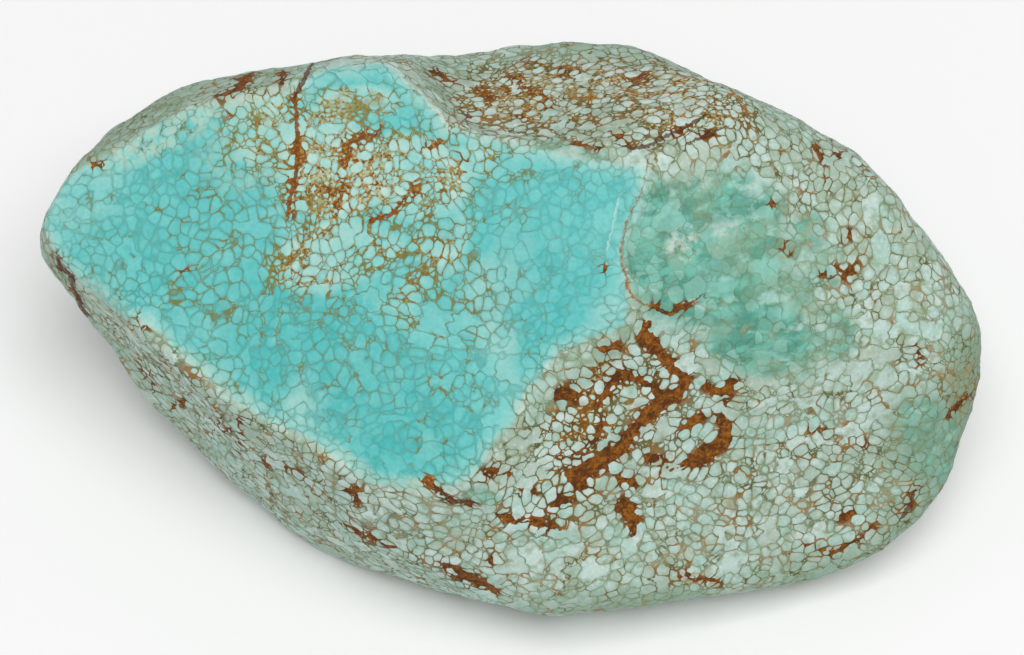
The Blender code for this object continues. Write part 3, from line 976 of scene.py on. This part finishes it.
def hidden_veins(bench, place, hidden):
    """Depth inside the veins of the sides that nothing was drawn on."""
    sheet = bench.noise(bench.shifted(place, "back veins"), BACK_VEIN_SIZE, 1.0)
    sheet = bench.math("ABSOLUTE", off_middle(bench, sheet))
    broken = bench.noise(bench.shifted(place, "vein breaks"), BACK_VEIN_SIZE / 2, 1.0)
    vein = bench.times(bench.fade(sheet, BACK_VEIN_HALF, 0.0), bench.fade(broken, *BACK_VEIN_BREAKS))
    vein = bench.times(vein, hidden)
    return bench.plus(vein, BACK_VEIN_DEPTH[1], BACK_VEIN_DEPTH[0])


def slow_changes(bench, geometry):
    """Keeps the slow noises on the points."""
    place = bench.painted("place", "FLOAT_VECTOR")
    hidden = bench.rest(bench.painted("face"))
    blotch = bench.noise(bench.shifted(place, "blotch"), BLOTCH)
    slow = bench.noise(bench.shifted(place, "slow"), SLOW)
    iron = bench.larger(bench.painted("iron"), hidden_veins(bench, place, hidden))
    for size, strength in VEIN_WAVER:
        waver = bench.noise(bench.shifted(place, "waver"), size, 1.0)
        iron = bench.plus(off_middle(bench, waver), strength, iron)
    stain = bench.larger(bench.painted("brown_seams"), bench.times(hidden, HIDDEN_STAIN))
    stain = bench.larger(bench.plus(off_middle(bench, slow), STAIN_WAVER, stain), 0.0)
    stain = bench.larger(stain, bench.painted("fine_veins"))
    skin = bench.fade(bench.painted("window"), 0.0, -1.0)
    pebbles = bench.larger(bench.painted("pebbles"), bench.times(skin, SKIN_CRUSHED))
    kept = {
        "blotch": blotch,
        "pebbles": bench.times(pebbles, bench.fade(blotch, *CRUSHED_PATCHES)),
        "tint": bench.noise(bench.shifted(place, "tint"), TINT),
        "clouds": bench.noise(bench.shifted(place, "clouds"), CLOUD, 3.0),
        "window": bench.plus(off_middle(bench, blotch), EDGE_WAVER, bench.painted("window")),
        "teal_patch": bench.plus(off_middle(bench, blotch), PATCH_WAVER, bench.painted("teal_patch")),
        "iron": iron,
        "brown_seams": stain,
    }
    for name, value in kept.items():
        geometry = bench.kept(geometry, name, value)
    for size, strength in WANDER:
        place = bend(bench, place, size, strength)
    return bench.kept(geometry, "bent", place, "FLOAT_VECTOR")


def run_on_points(stone, title, work):
    """Runs Geometry Nodes on the stone and keeps the result. work takes a bench and a geometry socket."""
    tree = bpy.data.node_groups.new(title, "GeometryNodeTree")
    tree.interface.new_socket("Geometry", in_out="INPUT", socket_type="NodeSocketGeometry")
    tree.interface.new_socket("Geometry", in_out="OUTPUT", socket_type="NodeSocketGeometry")
    bench = Bench(tree)
    given = bench.add("NodeGroupInput").outputs[0]
    bench.feed(bench.add("NodeGroupOutput").inputs[0], work(bench, given))
    modifier = stone.modifiers.new(title, "NODES")
    modifier.node_group = tree
    stone.data = frozen(stone)
    stone.modifiers.clear()
    print(title, "ran", len(tree.nodes), "nodes; the points carry", sorted(stone.data.attributes.keys()))


run_on_points(stone, "slow changes", slow_changes)

# %% [markdown]
# ## Relief
#
# Light only shows a stone's skin if the skin has a shape. A bump map fakes it in the shading, but the
# outline stays smooth and an exported mesh has nothing. So the relief is real: Geometry Nodes push each
# point in or out along its normal. The pebbles stand a few hundredths of a millimetre proud, rust is
# pitted, the teal patch is broken in small ledges, and the ground window stays flat.

# %% Raise the relief
LUMPS = (5.0, 1.0)  # mm: size and height of the skin's slow lumps
PEBBLE_HEIGHT = 0.055  # mm, how proud a cell stands of its seams
PEBBLE_SHOULDER = 0.30  # mm from the seam, where a cell reaches its full height
RUST_PIT = 0.10  # mm, how deep the rust lies
RUST_EDGE = (-0.1, 0.3)  # mm inside a vein, where its pit starts and where it is full
LEDGES = (5.0, 0.28)  # mm: size and height of the teal patch's broken ledges
LEDGE_SLOPE = 1.2  # mm
LEDGE_BEND = (2.0, 1.5)  # mm: size and strength of the noise that bends the ledges
ON_WINDOW = (-0.35, 0.15)  # mm inside the window's outline, where the relief has died away
OFF_THE_GROUND = (0.05, 0.8)  # mm above the ground, where the relief starts and where it is full


def relief(bench, geometry):
    """Moves each point along its normal."""
    place = bench.painted("place", "FLOAT_VECTOR")
    gap, tone = grow_web(bench)
    lump_size, lump_height = LUMPS
    ledge_size, ledge_height = LEDGES
    height = bench.times(bench.fade(gap, 0.0, PEBBLE_SHOULDER), PEBBLE_HEIGHT)
    height = bench.plus(tone, PEBBLE_HEIGHT / 2, height)
    height = bench.plus(off_middle(bench, bench.noise(place, lump_size, 3.0)), lump_height, height)
    ledges = bench.cells(bend(bench, place, *LEDGE_BEND), ledge_size)[0]
    ledges = bench.times(bench.fade(ledges, 0.0, LEDGE_SLOPE), bench.painted("teal_patch"))
    height = bench.plus(ledges, ledge_height, height)
    height = bench.plus(bench.fade(bench.painted("iron"), *RUST_EDGE), -RUST_PIT, height)
    height = bench.times(height, bench.fade(bench.painted("window"), ON_WINDOW[1], ON_WINDOW[0]))
    split_place = bench.add("ShaderNodeSeparateXYZ")
    bench.feed(split_place.inputs[0], place)
    height = bench.times(height, bench.fade(split_place.outputs["Z"], *OFF_THE_GROUND))
    mover = bench.add("GeometryNodeSetPosition")
    outward = bench.add("GeometryNodeInputNormal").outputs[0]
    bench.feed(mover.inputs["Geometry"], geometry)
    bench.feed(mover.inputs["Offset"], bench.scaled(outward, bench.times(height, MM)))
    return mover.outputs[0]


run_on_points(stone, "relief", relief)
moved = np.linalg.norm(points_of(stone.data) - places, axis=1)
print(f"the relief moves points by up to {moved.max():.2f} mm, {moved.mean():.3f} on average")

# %% [markdown]
# ## The colours
#
# Paint charts give colours as screen values from 0 to 255, but Blender's shaders work in linear light, so
# a helper turns one into the other. Every finish below is a small family of colours, not one flat colour.

# %% Mix the palette


def chart(red, green, blue):
    """A screen colour, 0 to 255, as linear light, by the curve of the sRGB standard."""
    light = []
    for level in (red, green, blue):
        share = level / 255
        light.append(share / 12.92 if share <= 0.04045 else ((share + 0.055) / 1.055) ** 2.4)
    return (*light, 1)


SKY = chart(116, 201, 197)
SKY_DEEP = chart(72, 181, 178)
SKY_PALE = chart(188, 219, 206)
WINDOW_SEAM = chart(64, 154, 148)
OLIVE_SEAM = chart(116, 114, 46)
RIND = chart(160, 190, 176)
RIND_PALE = chart(199, 218, 212)
RIND_GREEN = chart(138, 153, 116)
# painted shade: the darker skin colour laid on where greyed was painted
RIND_SHADE = chart(122, 152, 126)
RIND_TEAL = chart(126, 186, 168)
RIND_SEAM = chart(82, 80, 22)
RUSTY_SEAM = chart(144, 94, 14)
PATCH = chart(102, 181, 162)
PATCH_DEEP = chart(68, 148, 128)
PATCH_PALE = chart(152, 202, 188)
CHALK = chart(216, 225, 216)
CREAM = chart(196, 208, 184)
SAND = chart(162, 132, 76)
SAND_PALE = chart(180, 190, 152)
RUST = chart(124, 70, 10)
RUST_DEEP = chart(74, 38, 4)
RUST_BRIGHT = chart(148, 92, 22)
CRACK = chart(92, 50, 20)
print("palette mixed; the sky blue is", [round(part, 3) for part in SKY[:3]])

# %% [markdown]
# ## The stone's finish
#
# All of the stone is one material, because it is one stone. It is built in the order in which the stone
# formed: the turquoise cells, the seams between them, the iron, and last the cracks and scars. All of
# these steps ask for the same few things: how deep a point lies in its pebble, what was painted there,
# and some fine noise. Those are gathered once, so that no noise is worked out twice.

# %% Gather what every step needs
GRIT, MOTTLE = 0.3, 0.8  # mm, the sizes of the finest noise and of the mottling
GRAIN_OF_SAND = 0.17  # mm
WINDOW_EDGE = (-0.25, 0.35)  # mm inside the window, where its finish starts and where it is full
PATCH_EDGE = (0.15, 0.85)  # the teal patch's strength, where its finish starts and where it is full
HALO = (-0.6, 0.0)  # mm from a vein's edge, where the seams start to thicken and where they are thickest


def sand(bench, place):
    """Grains of fine sand: one random number a grain."""
    grains = bench.add("ShaderNodeTexVoronoi", feature="F1")
    bench.feed(grains.inputs["Vector"], place)
    grains.inputs["Scale"].default_value = 1 / GRAIN_OF_SAND
    return bench.channels(grains.outputs["Color"])[0]


class Here:
    """What the steps can ask about the point that is being coloured."""

    def __init__(self, bench):
        self.place = bench.painted("place", "FLOAT_VECTOR")
        self.depth, self.tone = grow_web(bench)
        self.iron = bench.painted("iron")
        self.blotch = bench.painted("blotch")
        self.stain = bench.painted("brown_seams")
        self.tint = bench.painted("tint")
        self.grit = bench.noise(self.place, GRIT)
        self.mottle = bench.noise(bench.shifted(self.place, "mottle"), MOTTLE, 3.0)
        self.grain = sand(bench, self.place)
        self.window = bench.fade(bench.painted("window"), *WINDOW_EDGE)
        patch = bench.fade(bench.painted("teal_patch"), *PATCH_EDGE)
        self.patch = bench.times(patch, bench.rest(self.window))
        self.near_iron = bench.fade(self.iron, *HALO)


print("the finest noise has clouds of", GRIT, "mm")

# %% [markdown]
# ## The cells
#
# In the ground window the cells are sky blue with deeper edges, and paler near the rim and in the brown
# web. They could be given one blue, but then the window would look like printed paper. So each share of
# a paler or deeper blue fades in softly. Below, three numbers in a row say where such a share starts,
# where it is full, and how strong it then is.

# %% Colour the window's cells
DEEP_STAIN, DEEP_TONE = 0.6, 0.35  # how much a drawn stain, and a cell's own tone, deepen the blue
DEEP_MOTTLE = (0.45, 0.7, 0.3)
PALE_CLOUDS = (0.45, 0.75, 0.6)
PALE_RIM = (1.6, 0.0, 0.6)  # the first two in mm inside the window
PALE_IN_WEB = (0.5, 0.95)  # how brown the seams are, where the cells start to pale and where they are palest
PALE_BY_TONE = (0.5, 0.55)  # how much of the paling goes by the cell's tone, and how much every cell gets
SKY_EDGE = (0.16, 0.0)  # mm from the seam
SKY_EDGE_STRENGTH = (0.45, 0.28)  # in the busy parts of the window, and in its quiet parts


def sky_cells(bench, here):
    """The blue cells of the window, with deeper edges."""
    deep = bench.plus(bench.painted("deep_blue"), DEEP_STAIN, bench.times(here.tone, DEEP_TONE))
    deep = bench.plus_soft(deep, here.mottle, *DEEP_MOTTLE)
    colour = bench.blend(deep, SKY, SKY_DEEP)
    pale = bench.soft(bench.painted("clouds"), *PALE_CLOUDS)
    pale = bench.larger(pale, bench.soft(bench.painted("window"), *PALE_RIM))
    pale = bench.larger(pale, bench.fade(here.stain, *PALE_IN_WEB))
    pale = bench.times(pale, bench.plus(here.tone, *PALE_BY_TONE))
    colour = bench.blend(pale, colour, SKY_PALE)
    strength = bench.between(bench.painted("quiet"), *SKY_EDGE_STRENGTH)
    return bench.blend(bench.times(bench.fade(here.depth, *SKY_EDGE), strength), colour, WINDOW_SEAM)


print("the window's cells pale within", PALE_RIM[0], "mm of its rim")

# %% [markdown]
# The skin's cells are chalky and mottled, with greener edges. Weathering tinged some of them green and
# some teal. If noise alone chose them, the tinge would run across the seams, so each cell also brings a
# random number of its own, and the tinge changes from cell to cell.

# %% Colour the skin's cells
RIND_TONE = 0.55  # how much a cell's own tone pales it
RIND_MIDDLE = (0.05, 0.3, 0.3)  # the first two in mm from the seam
RIND_MOTTLE = (0.6, 0.4, 0.3)
STAINED = (0.4, 1.0)  # how brown the seams are, where the cells start to change and where they have
STAINED_PALER = 0.35  # how much paler such cells are
PALE_LEFT = 0.85  # how much of the other paling is kept
TONE_TURNS = 6.7  # makes a second random number of a cell's tone
TINGE_SWING = (0.3, -0.15)  # that number's reach and its lowest value
GREEN_CLOUDS = (0.5, 0.66, 0.38)
GREEN_MOTTLE = (0.5, 0.72, 0.6)
GREEN_IN_STAIN = 0.4  # how much of the green is left where the seams are brown
TEAL_TINGE = (0.54, 0.66, 0.3)
CHALKY_GRIT = (0.55, 0.75, 0.35)
PAINTED_EDGE_SHADE_SHARE = 0.8
RIND_EDGE = (0.12, 0.0, 0.5)  # the first two in mm from the seam


def rind_cells(bench, here):
    """The chalky cells of the skin: mottled, with greener edges, and painted shade near the outline."""
    pale = bench.plus(here.tone, RIND_TONE, bench.soft(here.depth, *RIND_MIDDLE))
    pale = bench.plus_soft(pale, here.mottle, *RIND_MOTTLE)
    stained = bench.fade(here.stain, *STAINED)
    pale = bench.plus(stained, STAINED_PALER, bench.times(pale, PALE_LEFT))
    colour = bench.blend(pale, RIND, RIND_PALE)
    own = bench.math("FRACT", bench.times(here.tone, TONE_TURNS))
    own = bench.plus(own, *TINGE_SWING)
    green = bench.soft(bench.math("SUBTRACT", bench.painted("clouds"), own), *GREEN_CLOUDS)
    green = bench.larger(green, bench.soft(here.mottle, *GREEN_MOTTLE))
    green = bench.times(green, bench.between(stained, 1.0, GREEN_IN_STAIN))
    colour = bench.blend(green, colour, RIND_GREEN)
    colour = bench.blend(bench.soft(bench.math("ADD", here.tint, own), *TEAL_TINGE), colour, RIND_TEAL)
    colour = bench.blend(bench.soft(here.grit, *CHALKY_GRIT), colour, CHALK)
    # painted shade: darkens the skin towards the stone's outline and on some slopes
    colour = bench.blend(bench.times(bench.painted("greyed"), PAINTED_EDGE_SHADE_SHARE), colour, RIND_SHADE)
    return bench.blend(bench.soft(here.depth, *RIND_EDGE), colour, RIND_GREEN)


print("the skin's cells have green edges", RIND_EDGE[0], "mm wide")

# %% [markdown]
# In the teal patch the stone broke along old cracks, so its colour runs in streaks. Streaks could be drawn
# one by one, but noise makes them too: if the place is squeezed before the noise is asked, its round
# clouds come out long and flat. The patch is laid over the skin, and the window over both.

# %% Colour the patch's cells, and put the three together
STREAK_SQUEEZE = (0.65, 1.0, 1.6)  # makes the clouds longer across the stone and flatter from top to bottom
STREAK_SIZE, STREAK_DETAIL = 1.6, 5.0  # mm before the squeeze, and how many finer layers the noise has
STREAKS = (0.44, 0.58)
WISPS = (0.57, 0.7)
PATCH_TONE = (0.4, 1.0, 0.45)
PATCH_TINT = (0.45, 0.65, 0.4)
PATCH_SHARE = 0.9
BLEACH_MOTTLE, BLEACH_SHARE = (0.35, 0.6), 0.75
TAN_MOTTLE, TAN_SHARE = (0.4, 0.6), 0.6


def patch_cells(bench, here):
    """The streaky teal patch, where the stone broke along old cracks."""
    squeezed = bench.vector("MULTIPLY", here.place, STREAK_SQUEEZE)
    streaks = bench.noise(squeezed, STREAK_SIZE, STREAK_DETAIL, output="Color")
    streak, wisp, _ = bench.channels(streaks)
    colour = bench.blend(bench.fade(streak, *STREAKS), PATCH_DEEP, PATCH)
    colour = bench.blend(bench.soft(here.tone, *PATCH_TONE), colour, PATCH_PALE)
    colour = bench.blend(bench.soft(here.tint, *PATCH_TINT), colour, RIND_GREEN)
    return bench.blend(bench.fade(wisp, *WISPS), colour, PATCH_PALE)


def all_cells(bench, here):
    """The skin, the patch laid over it, the window laid over both, and then the stains."""
    colour = rind_cells(bench, here)
    colour = bench.blend(bench.times(here.patch, PATCH_SHARE), colour, patch_cells(bench, here))
    colour = bench.blend(here.window, colour, sky_cells(bench, here))
    bleach = bench.times(bench.painted("bleached"), bench.fade(here.mottle, *BLEACH_MOTTLE))
    bleached = bench.blend(here.patch, CREAM, CHALK)
    colour = bench.blend(bench.times(bleach, BLEACH_SHARE), colour, bleached)
    tan = bench.times(bench.painted("tanned"), bench.fade(here.mottle, *TAN_MOTTLE))
    return bench.blend(bench.times(tan, TAN_SHARE), colour, SAND)


print("the streaks' noise starts at", STREAK_SIZE, "mm")

# %% [markdown]
# ## The seams
#
# A seam is where the depth in a pebble is near zero, so its width is a number that can be changed from
# place to place. Iron nearby thickens the seams until they drown the cells, and that is what makes a
# vein with islands in it. Away from the iron many seams are faint, most of all in the window. Their
# colour changes too: teal or olive in the window, and olive or rusty in the skin.

# %% Draw the seams
SEAM_HALF = 0.018  # mm, half a plain seam of the skin
WINDOW_SEAM_HALF = 0.011  # mm, half a plain seam of the window
STAIN_HALF = 0.017  # mm, what a full stain adds to half a seam
SEAM_SOFT = 0.017  # mm, the blur of a seam's edge
GRIT_SWING = (2.6, -0.3)  # turns the fine noise into a swing of the width
SWINGING_BLOTCH = (0.2, 0.7)  # the blotch noise, where that swing starts and where it is full
WIDTH_SWING = (1.5, 0.3)  # what a full swing adds to the width's factor, and the factor without it
HALO_WIDTH = 0.028  # mm, what a vein nearby adds to half a seam
DROWNED = (0.0, 0.6)  # mm inside a vein, where the cells start to drown and where none is left
DROWNED_WIDTH = 0.7  # mm, wide enough to drown the largest cell
FAINT_NOISE = (1.12, 0.84)  # the tint and mottle noises added up, where seams are faintest and clearest
FAINTEST = (0.42, 0.16)  # how much of the faintest seam shows in the skin, and in the window
CLEAREST = 0.92  # how much of the clearest plain seam shows
QUIET_LEFT = 0.5  # how much of a seam is left in a quiet part of the window
PATCH_LEFT = 0.45  # how much of a seam is left in the teal patch
BROWNED = (0.15, 0.75)  # the stain, where it starts to bring a faint seam out and where it is all there
RUSTED = (0.5, 1.05)  # the stain, where rust starts to fill a seam and where it fills it
OLIVE_MOTTLE, OLIVE_STAIN = (0.56, 0.4), (0.0, 0.4)  # where the window's seams turn from teal to olive
RUSTY_BLOTCH = (0.46, 0.64)  # the blotch noise, where the skin's seams turn from olive to rusty


def seam_shares(bench, here):
    """How much of a seam there is at the point, and how much of it is rusted."""
    half = bench.between(here.window, SEAM_HALF, WINDOW_SEAM_HALF)
    half = bench.plus(here.stain, STAIN_HALF, half)
    swing = bench.times(bench.plus(here.grit, *GRIT_SWING), bench.fade(here.blotch, *SWINGING_BLOTCH))
    half = bench.times(half, bench.plus(swing, *WIDTH_SWING))
    half = bench.plus(here.near_iron, HALO_WIDTH, half)
    half = bench.plus(bench.fade(here.iron, *DROWNED), DROWNED_WIDTH, half)
    outer, inner = bench.math("ADD", half, SEAM_SOFT), bench.math("SUBTRACT", half, SEAM_SOFT)
    seam = bench.fade(here.depth, outer, inner)
    faint = bench.fade(bench.math("ADD", here.tint, here.mottle), *FAINT_NOISE)
    faint = bench.between(faint, bench.between(here.window, *FAINTEST), CLEAREST)
    quiet = bench.times(bench.painted("quiet"), here.window)
    faint = bench.times(faint, bench.between(quiet, 1.0, QUIET_LEFT))
    faint = bench.times(faint, bench.between(here.patch, 1.0, PATCH_LEFT))
    browned = bench.larger(here.near_iron, bench.fade(here.stain, *BROWNED))
    seam = bench.times(seam, bench.larger(faint, browned))
    return seam, bench.larger(here.near_iron, bench.fade(here.stain, *RUSTED))


def plain_seams(bench, here):
    """The colour of the seams that no rust has filled."""
    olive = bench.larger(bench.fade(here.mottle, *OLIVE_MOTTLE), bench.fade(here.stain, *OLIVE_STAIN))
    blue_seam = bench.blend(olive, WINDOW_SEAM, OLIVE_SEAM)
    skin_seam = bench.blend(bench.fade(here.blotch, *RUSTY_BLOTCH), RIND_SEAM, RUSTY_SEAM)
    return bench.blend(here.window, skin_seam, blue_seam)


print("plain seams start from", 2 * SEAM_HALF, "mm in the skin,", 2 * WINDOW_SEAM_HALF, "in the window")

# %% [markdown]
# ## Rust and sand
#
# The iron in the veins is grainy. It is darkest at a vein's edge and in single grains, and brighter in
# specks. In parts of the web the filling is yellow sand instead, most of all in the window. One number,
# the lightness, chooses between rust, sand and pale sand for each grain.

# %% Mix the rust and the sand
INSIDE_VEIN = (0.0, 0.35)  # mm inside a vein, from its edge to its core
DARK_EDGE = 0.35  # how dark a vein's edge is
GRAINS_IN_MOTTLE = 0.25  # how much each grain sways the mottling that darkens the rust
DARK_MOTTLE = (0.5, 0.75)
DARK_STRENGTH = (0.85, 0.5)  # in the skin, and in the window
BRIGHT_GRIT = (0.4, 0.6)
IRON_DARKENS = -0.5  # what a vein nearby does to the lightness
WINDOW_LIGHTENS = 0.38
SAND_LIGHTENS = 0.45
BLOTCH_SWAYS = 0.7
SANDY, PALE_SANDY = (0.7, 0.95), (1.15, 1.35)  # the lightness, where rust turns to sand, and to pale sand


def rust_and_sand(bench, here):
    """The rust alone, and what fills the rusted seams: rust, sand or pale sand."""
    dark = bench.times(bench.rest(bench.fade(here.iron, *INSIDE_VEIN)), DARK_EDGE)
    grainy = bench.plus(here.grain, GRAINS_IN_MOTTLE, here.mottle)
    dark = bench.larger(dark, bench.fade(grainy, *DARK_MOTTLE))
    rust = bench.blend(bench.fade(here.grit, *BRIGHT_GRIT), RUST, RUST_BRIGHT)
    rust = bench.blend(bench.times(dark, bench.between(here.window, *DARK_STRENGTH)), rust, RUST_DEEP)
    lightness = bench.plus(here.near_iron, IRON_DARKENS, bench.times(here.window, WINDOW_LIGHTENS))
    lightness = bench.plus(bench.painted("sandy"), SAND_LIGHTENS, lightness)
    swayed = bench.plus(off_middle(bench, here.blotch), BLOTCH_SWAYS, here.grain)
    lightness = bench.math("ADD", lightness, swayed)
    filling = bench.blend(bench.fade(lightness, *SANDY), rust, SAND)
    return rust, bench.blend(bench.fade(lightness, *PALE_SANDY), filling, SAND_PALE)


print("grains of sand are", GRAIN_OF_SAND, "mm")

# %% [markdown]
# ## The whole finish
#
# The thin lines come last, because cracks and scars cut through everything older. Then the surface gets
# its sheen: the ground window has a soft polish, while the skin is chalky and the rust is dull and
# grainy. Grit finer than the mesh can't be real relief, so a slight bump map adds it.

# %% Finish the stone
CRACK_WAVER = 0.5  # mm, how far a crack wavers to either side
LINE_EDGE = (0.03, -0.04)  # mm outside a thin line's edge, where it starts and where it is full
RUSTY_LINE_SHARE, CRACK_SHARE, SCAR_SHARE = 0.95, 0.85, 0.42
TAN_GRIT = (0.35, 0.6)  # the fine noise, where a tan crack is weakest and where it is strongest
TAN_CRACK_SHARE = (0.3, 0.85)  # how much of its colour there is at those two
SPECKLE = 0.3  # how much the fine noise lightens and darkens every colour
ROUGHNESS = {"skin": 0.74, "window": 0.34, "seams": 0.75}
REFRACTION = 1.5
SHINE = 0.25
BUMP_HEIGHT = 0.05  # mm
WINDOW_BUMP = 0.08  # how much of the bumps is left on the polished window
CRACK_BUMP = -2.0  # how high a crack stands, in bump heights


def line(bench, here, name, colour, paint, share):
    """Draws a painted thin line over the colour. Returns how much line there is, and the new colour."""
    side = bench.plus(off_middle(bench, here.grit), CRACK_WAVER, bench.painted(name + "_side"))
    edge = bench.math("SUBTRACT", bench.math("ABSOLUTE", side), bench.painted(name + "_width"))
    amount = bench.fade(edge, *LINE_EDGE)
    return amount, bench.blend(bench.times(amount, share), colour, paint)


def whole_colour(bench, here):
    """Cells, seams, rust and lines. Returns the colour, how much seam there is and how much dark crack."""
    seam, rusted = seam_shares(bench, here)
    rust, filling = rust_and_sand(bench, here)
    seam_colour = bench.blend(rusted, plain_seams(bench, here), filling)
    colour = bench.blend(seam, all_cells(bench, here), seam_colour)
    _, colour = line(bench, here, "rusty_line", colour, rust, RUSTY_LINE_SHARE)
    crack, colour = line(bench, here, "crack", colour, CRACK, CRACK_SHARE)
    broken = bench.between(bench.fade(here.grit, *TAN_GRIT), *TAN_CRACK_SHARE)
    _, colour = line(bench, here, "tan_crack", colour, RUSTY_SEAM, broken)
    _, colour = line(bench, here, "scar", colour, CHALK, SCAR_SHARE)
    speckled = bench.scaled(colour, bench.plus(off_middle(bench, here.grit), SPECKLE, 1.0))
    return speckled, seam, crack


def stone_finish():
    """The whole stone's material."""
    material = bpy.data.materials.new("turquoise")
    material.use_nodes = True
    tree = material.node_tree
    bench = Bench(tree)
    shader = tree.nodes["Principled BSDF"]
    here = Here(bench)
    colour, seam, crack = whole_colour(bench, here)
    cells_rough = bench.between(here.window, ROUGHNESS["skin"], ROUGHNESS["window"])
    height = bench.times(here.grit, bench.between(here.window, 1.0, WINDOW_BUMP))
    bump = bench.add("ShaderNodeBump")
    bump.inputs["Strength"].default_value = 1.0
    bump.inputs["Distance"].default_value = BUMP_HEIGHT * MM
    bench.feed(bump.inputs["Height"], bench.plus(crack, CRACK_BUMP, height))
    bench.feed(shader.inputs["Base Color"], colour)
    bench.feed(shader.inputs["Roughness"], bench.between(seam, cells_rough, ROUGHNESS["seams"]))
    bench.feed(shader.inputs["Normal"], bump.outputs[0])
    shader.inputs["IOR"].default_value = REFRACTION
    shader.inputs["Specular IOR Level"].default_value = SHINE
    return material


stone.data.materials.append(stone_finish())
stone.data.shade_smooth()
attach(stone, "root")
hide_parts("nugget")
print("finish with", len(stone.data.materials[0].node_tree.nodes), "nodes")

# %% [markdown]
# ## The table
#
# The stone rests on its ground underside on a pale matt sheet, large enough that its edge is never seen.

# %% Lay the floor
FLOOR_HALF = 3.0  # m
FLOOR = chart(246, 246, 246)
FLOOR_ROUGHNESS = 0.9
FLOOR_SHINE = 0.1


def pale_floor():
    bm = bmesh.new()
    bmesh.ops.create_grid(bm, x_segments=1, y_segments=1, size=FLOOR_HALF)
    mesh = bpy.data.meshes.new("floor")
    bm.to_mesh(mesh)
    bm.free()
    floor = bpy.data.objects.new("floor", mesh)
    bpy.context.scene.collection.objects.link(floor)
    material = bpy.data.materials.new("pale sheet")
    material.use_nodes = True
    shader = material.node_tree.nodes["Principled BSDF"]
    shader.inputs["Base Color"].default_value = FLOOR
    shader.inputs["Roughness"].default_value = FLOOR_ROUGHNESS
    shader.inputs["Specular IOR Level"].default_value = FLOOR_SHINE
    mesh.materials.append(material)
    return floor


pale_floor()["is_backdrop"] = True
print("floor at z = 0")

# %% [markdown]
# ## Light
#
# Stones are shown in a light tent: an even white surround, and one wide soft lamp that gives the flats
# their shading. The lamp hangs high, a little in front of the stone and to its right, so what faces
# upwards is lit the most.

# %% Hang the lights
WHITE = (1, 1, 1, 1)
SURROUND = 0.44  # how bright the white surround is
LAMP_POWER = 5.9  # W
LAMP_SIDE = 0.6  # m
LAMP_PLACE = Vector((0.08, -0.2, 0.9))  # m


def light_tent():
    world = bpy.data.worlds.new("white surround")
    world.use_nodes = True
    world.node_tree.nodes["Background"].inputs["Color"].default_value = WHITE
    world.node_tree.nodes["Background"].inputs["Strength"].default_value = SURROUND
    bpy.context.scene.world = world
    lamp_data = bpy.data.lights.new("wide soft lamp", "AREA")
    lamp_data.energy = LAMP_POWER
    lamp_data.size = LAMP_SIDE
    lamp = bpy.data.objects.new("wide soft lamp", lamp_data)
    bpy.context.scene.collection.objects.link(lamp)
    lamp.location = LAMP_PLACE
    lamp.rotation_euler = (-LAMP_PLACE).to_track_quat("-Z", "Y").to_euler()
    return lamp


lamp = light_tent()
bpy.context.scene.view_settings.view_transform = "Standard"
print("lamp at", tuple(round(part, 2) for part in lamp.location))

# %% [markdown]
# ## The eye
#
# The camera looks straight at the tipped-back face from the distance that the chart was drawn for. A long
# lens from that distance keeps the far end of the stone from shrinking.

# %% Place the camera
LENS = 184  # mm
SENSOR = 36  # mm


def face_camera():
    data = bpy.data.cameras.new("camera")
    data.lens = LENS
    data.sensor_width = SENSOR
    camera = bpy.data.objects.new("camera", data)
    bpy.context.scene.collection.objects.link(camera)
    aim = sum((axis * reach for axis, reach in zip((ACROSS, UP, OUT), face_middle)), Vector())
    camera.location = (aim + OUT * EYE_DISTANCE) * MM
    camera.rotation_euler = (FACE_TIP, 0, 0)
    bpy.context.scene.camera = camera
    return camera


camera = face_camera()
print("camera at", tuple(round(part, 3) for part in camera.location))

# %% [markdown]
# ## Sizes
#
# The looks must not change the stone's size, so the CAD's box and this stone's box are printed side by side.

# %% Print the sizes
look_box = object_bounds()
boxes = {
    "cad": [list(corner) for corner in cad_box],
    "looks": [list(corner) for corner in look_box],
}
for name, (low, high) in boxes.items():
    print(name, "sides, mm:", [round((top - bottom) / MM, 2) for bottom, top in zip(low, high)])
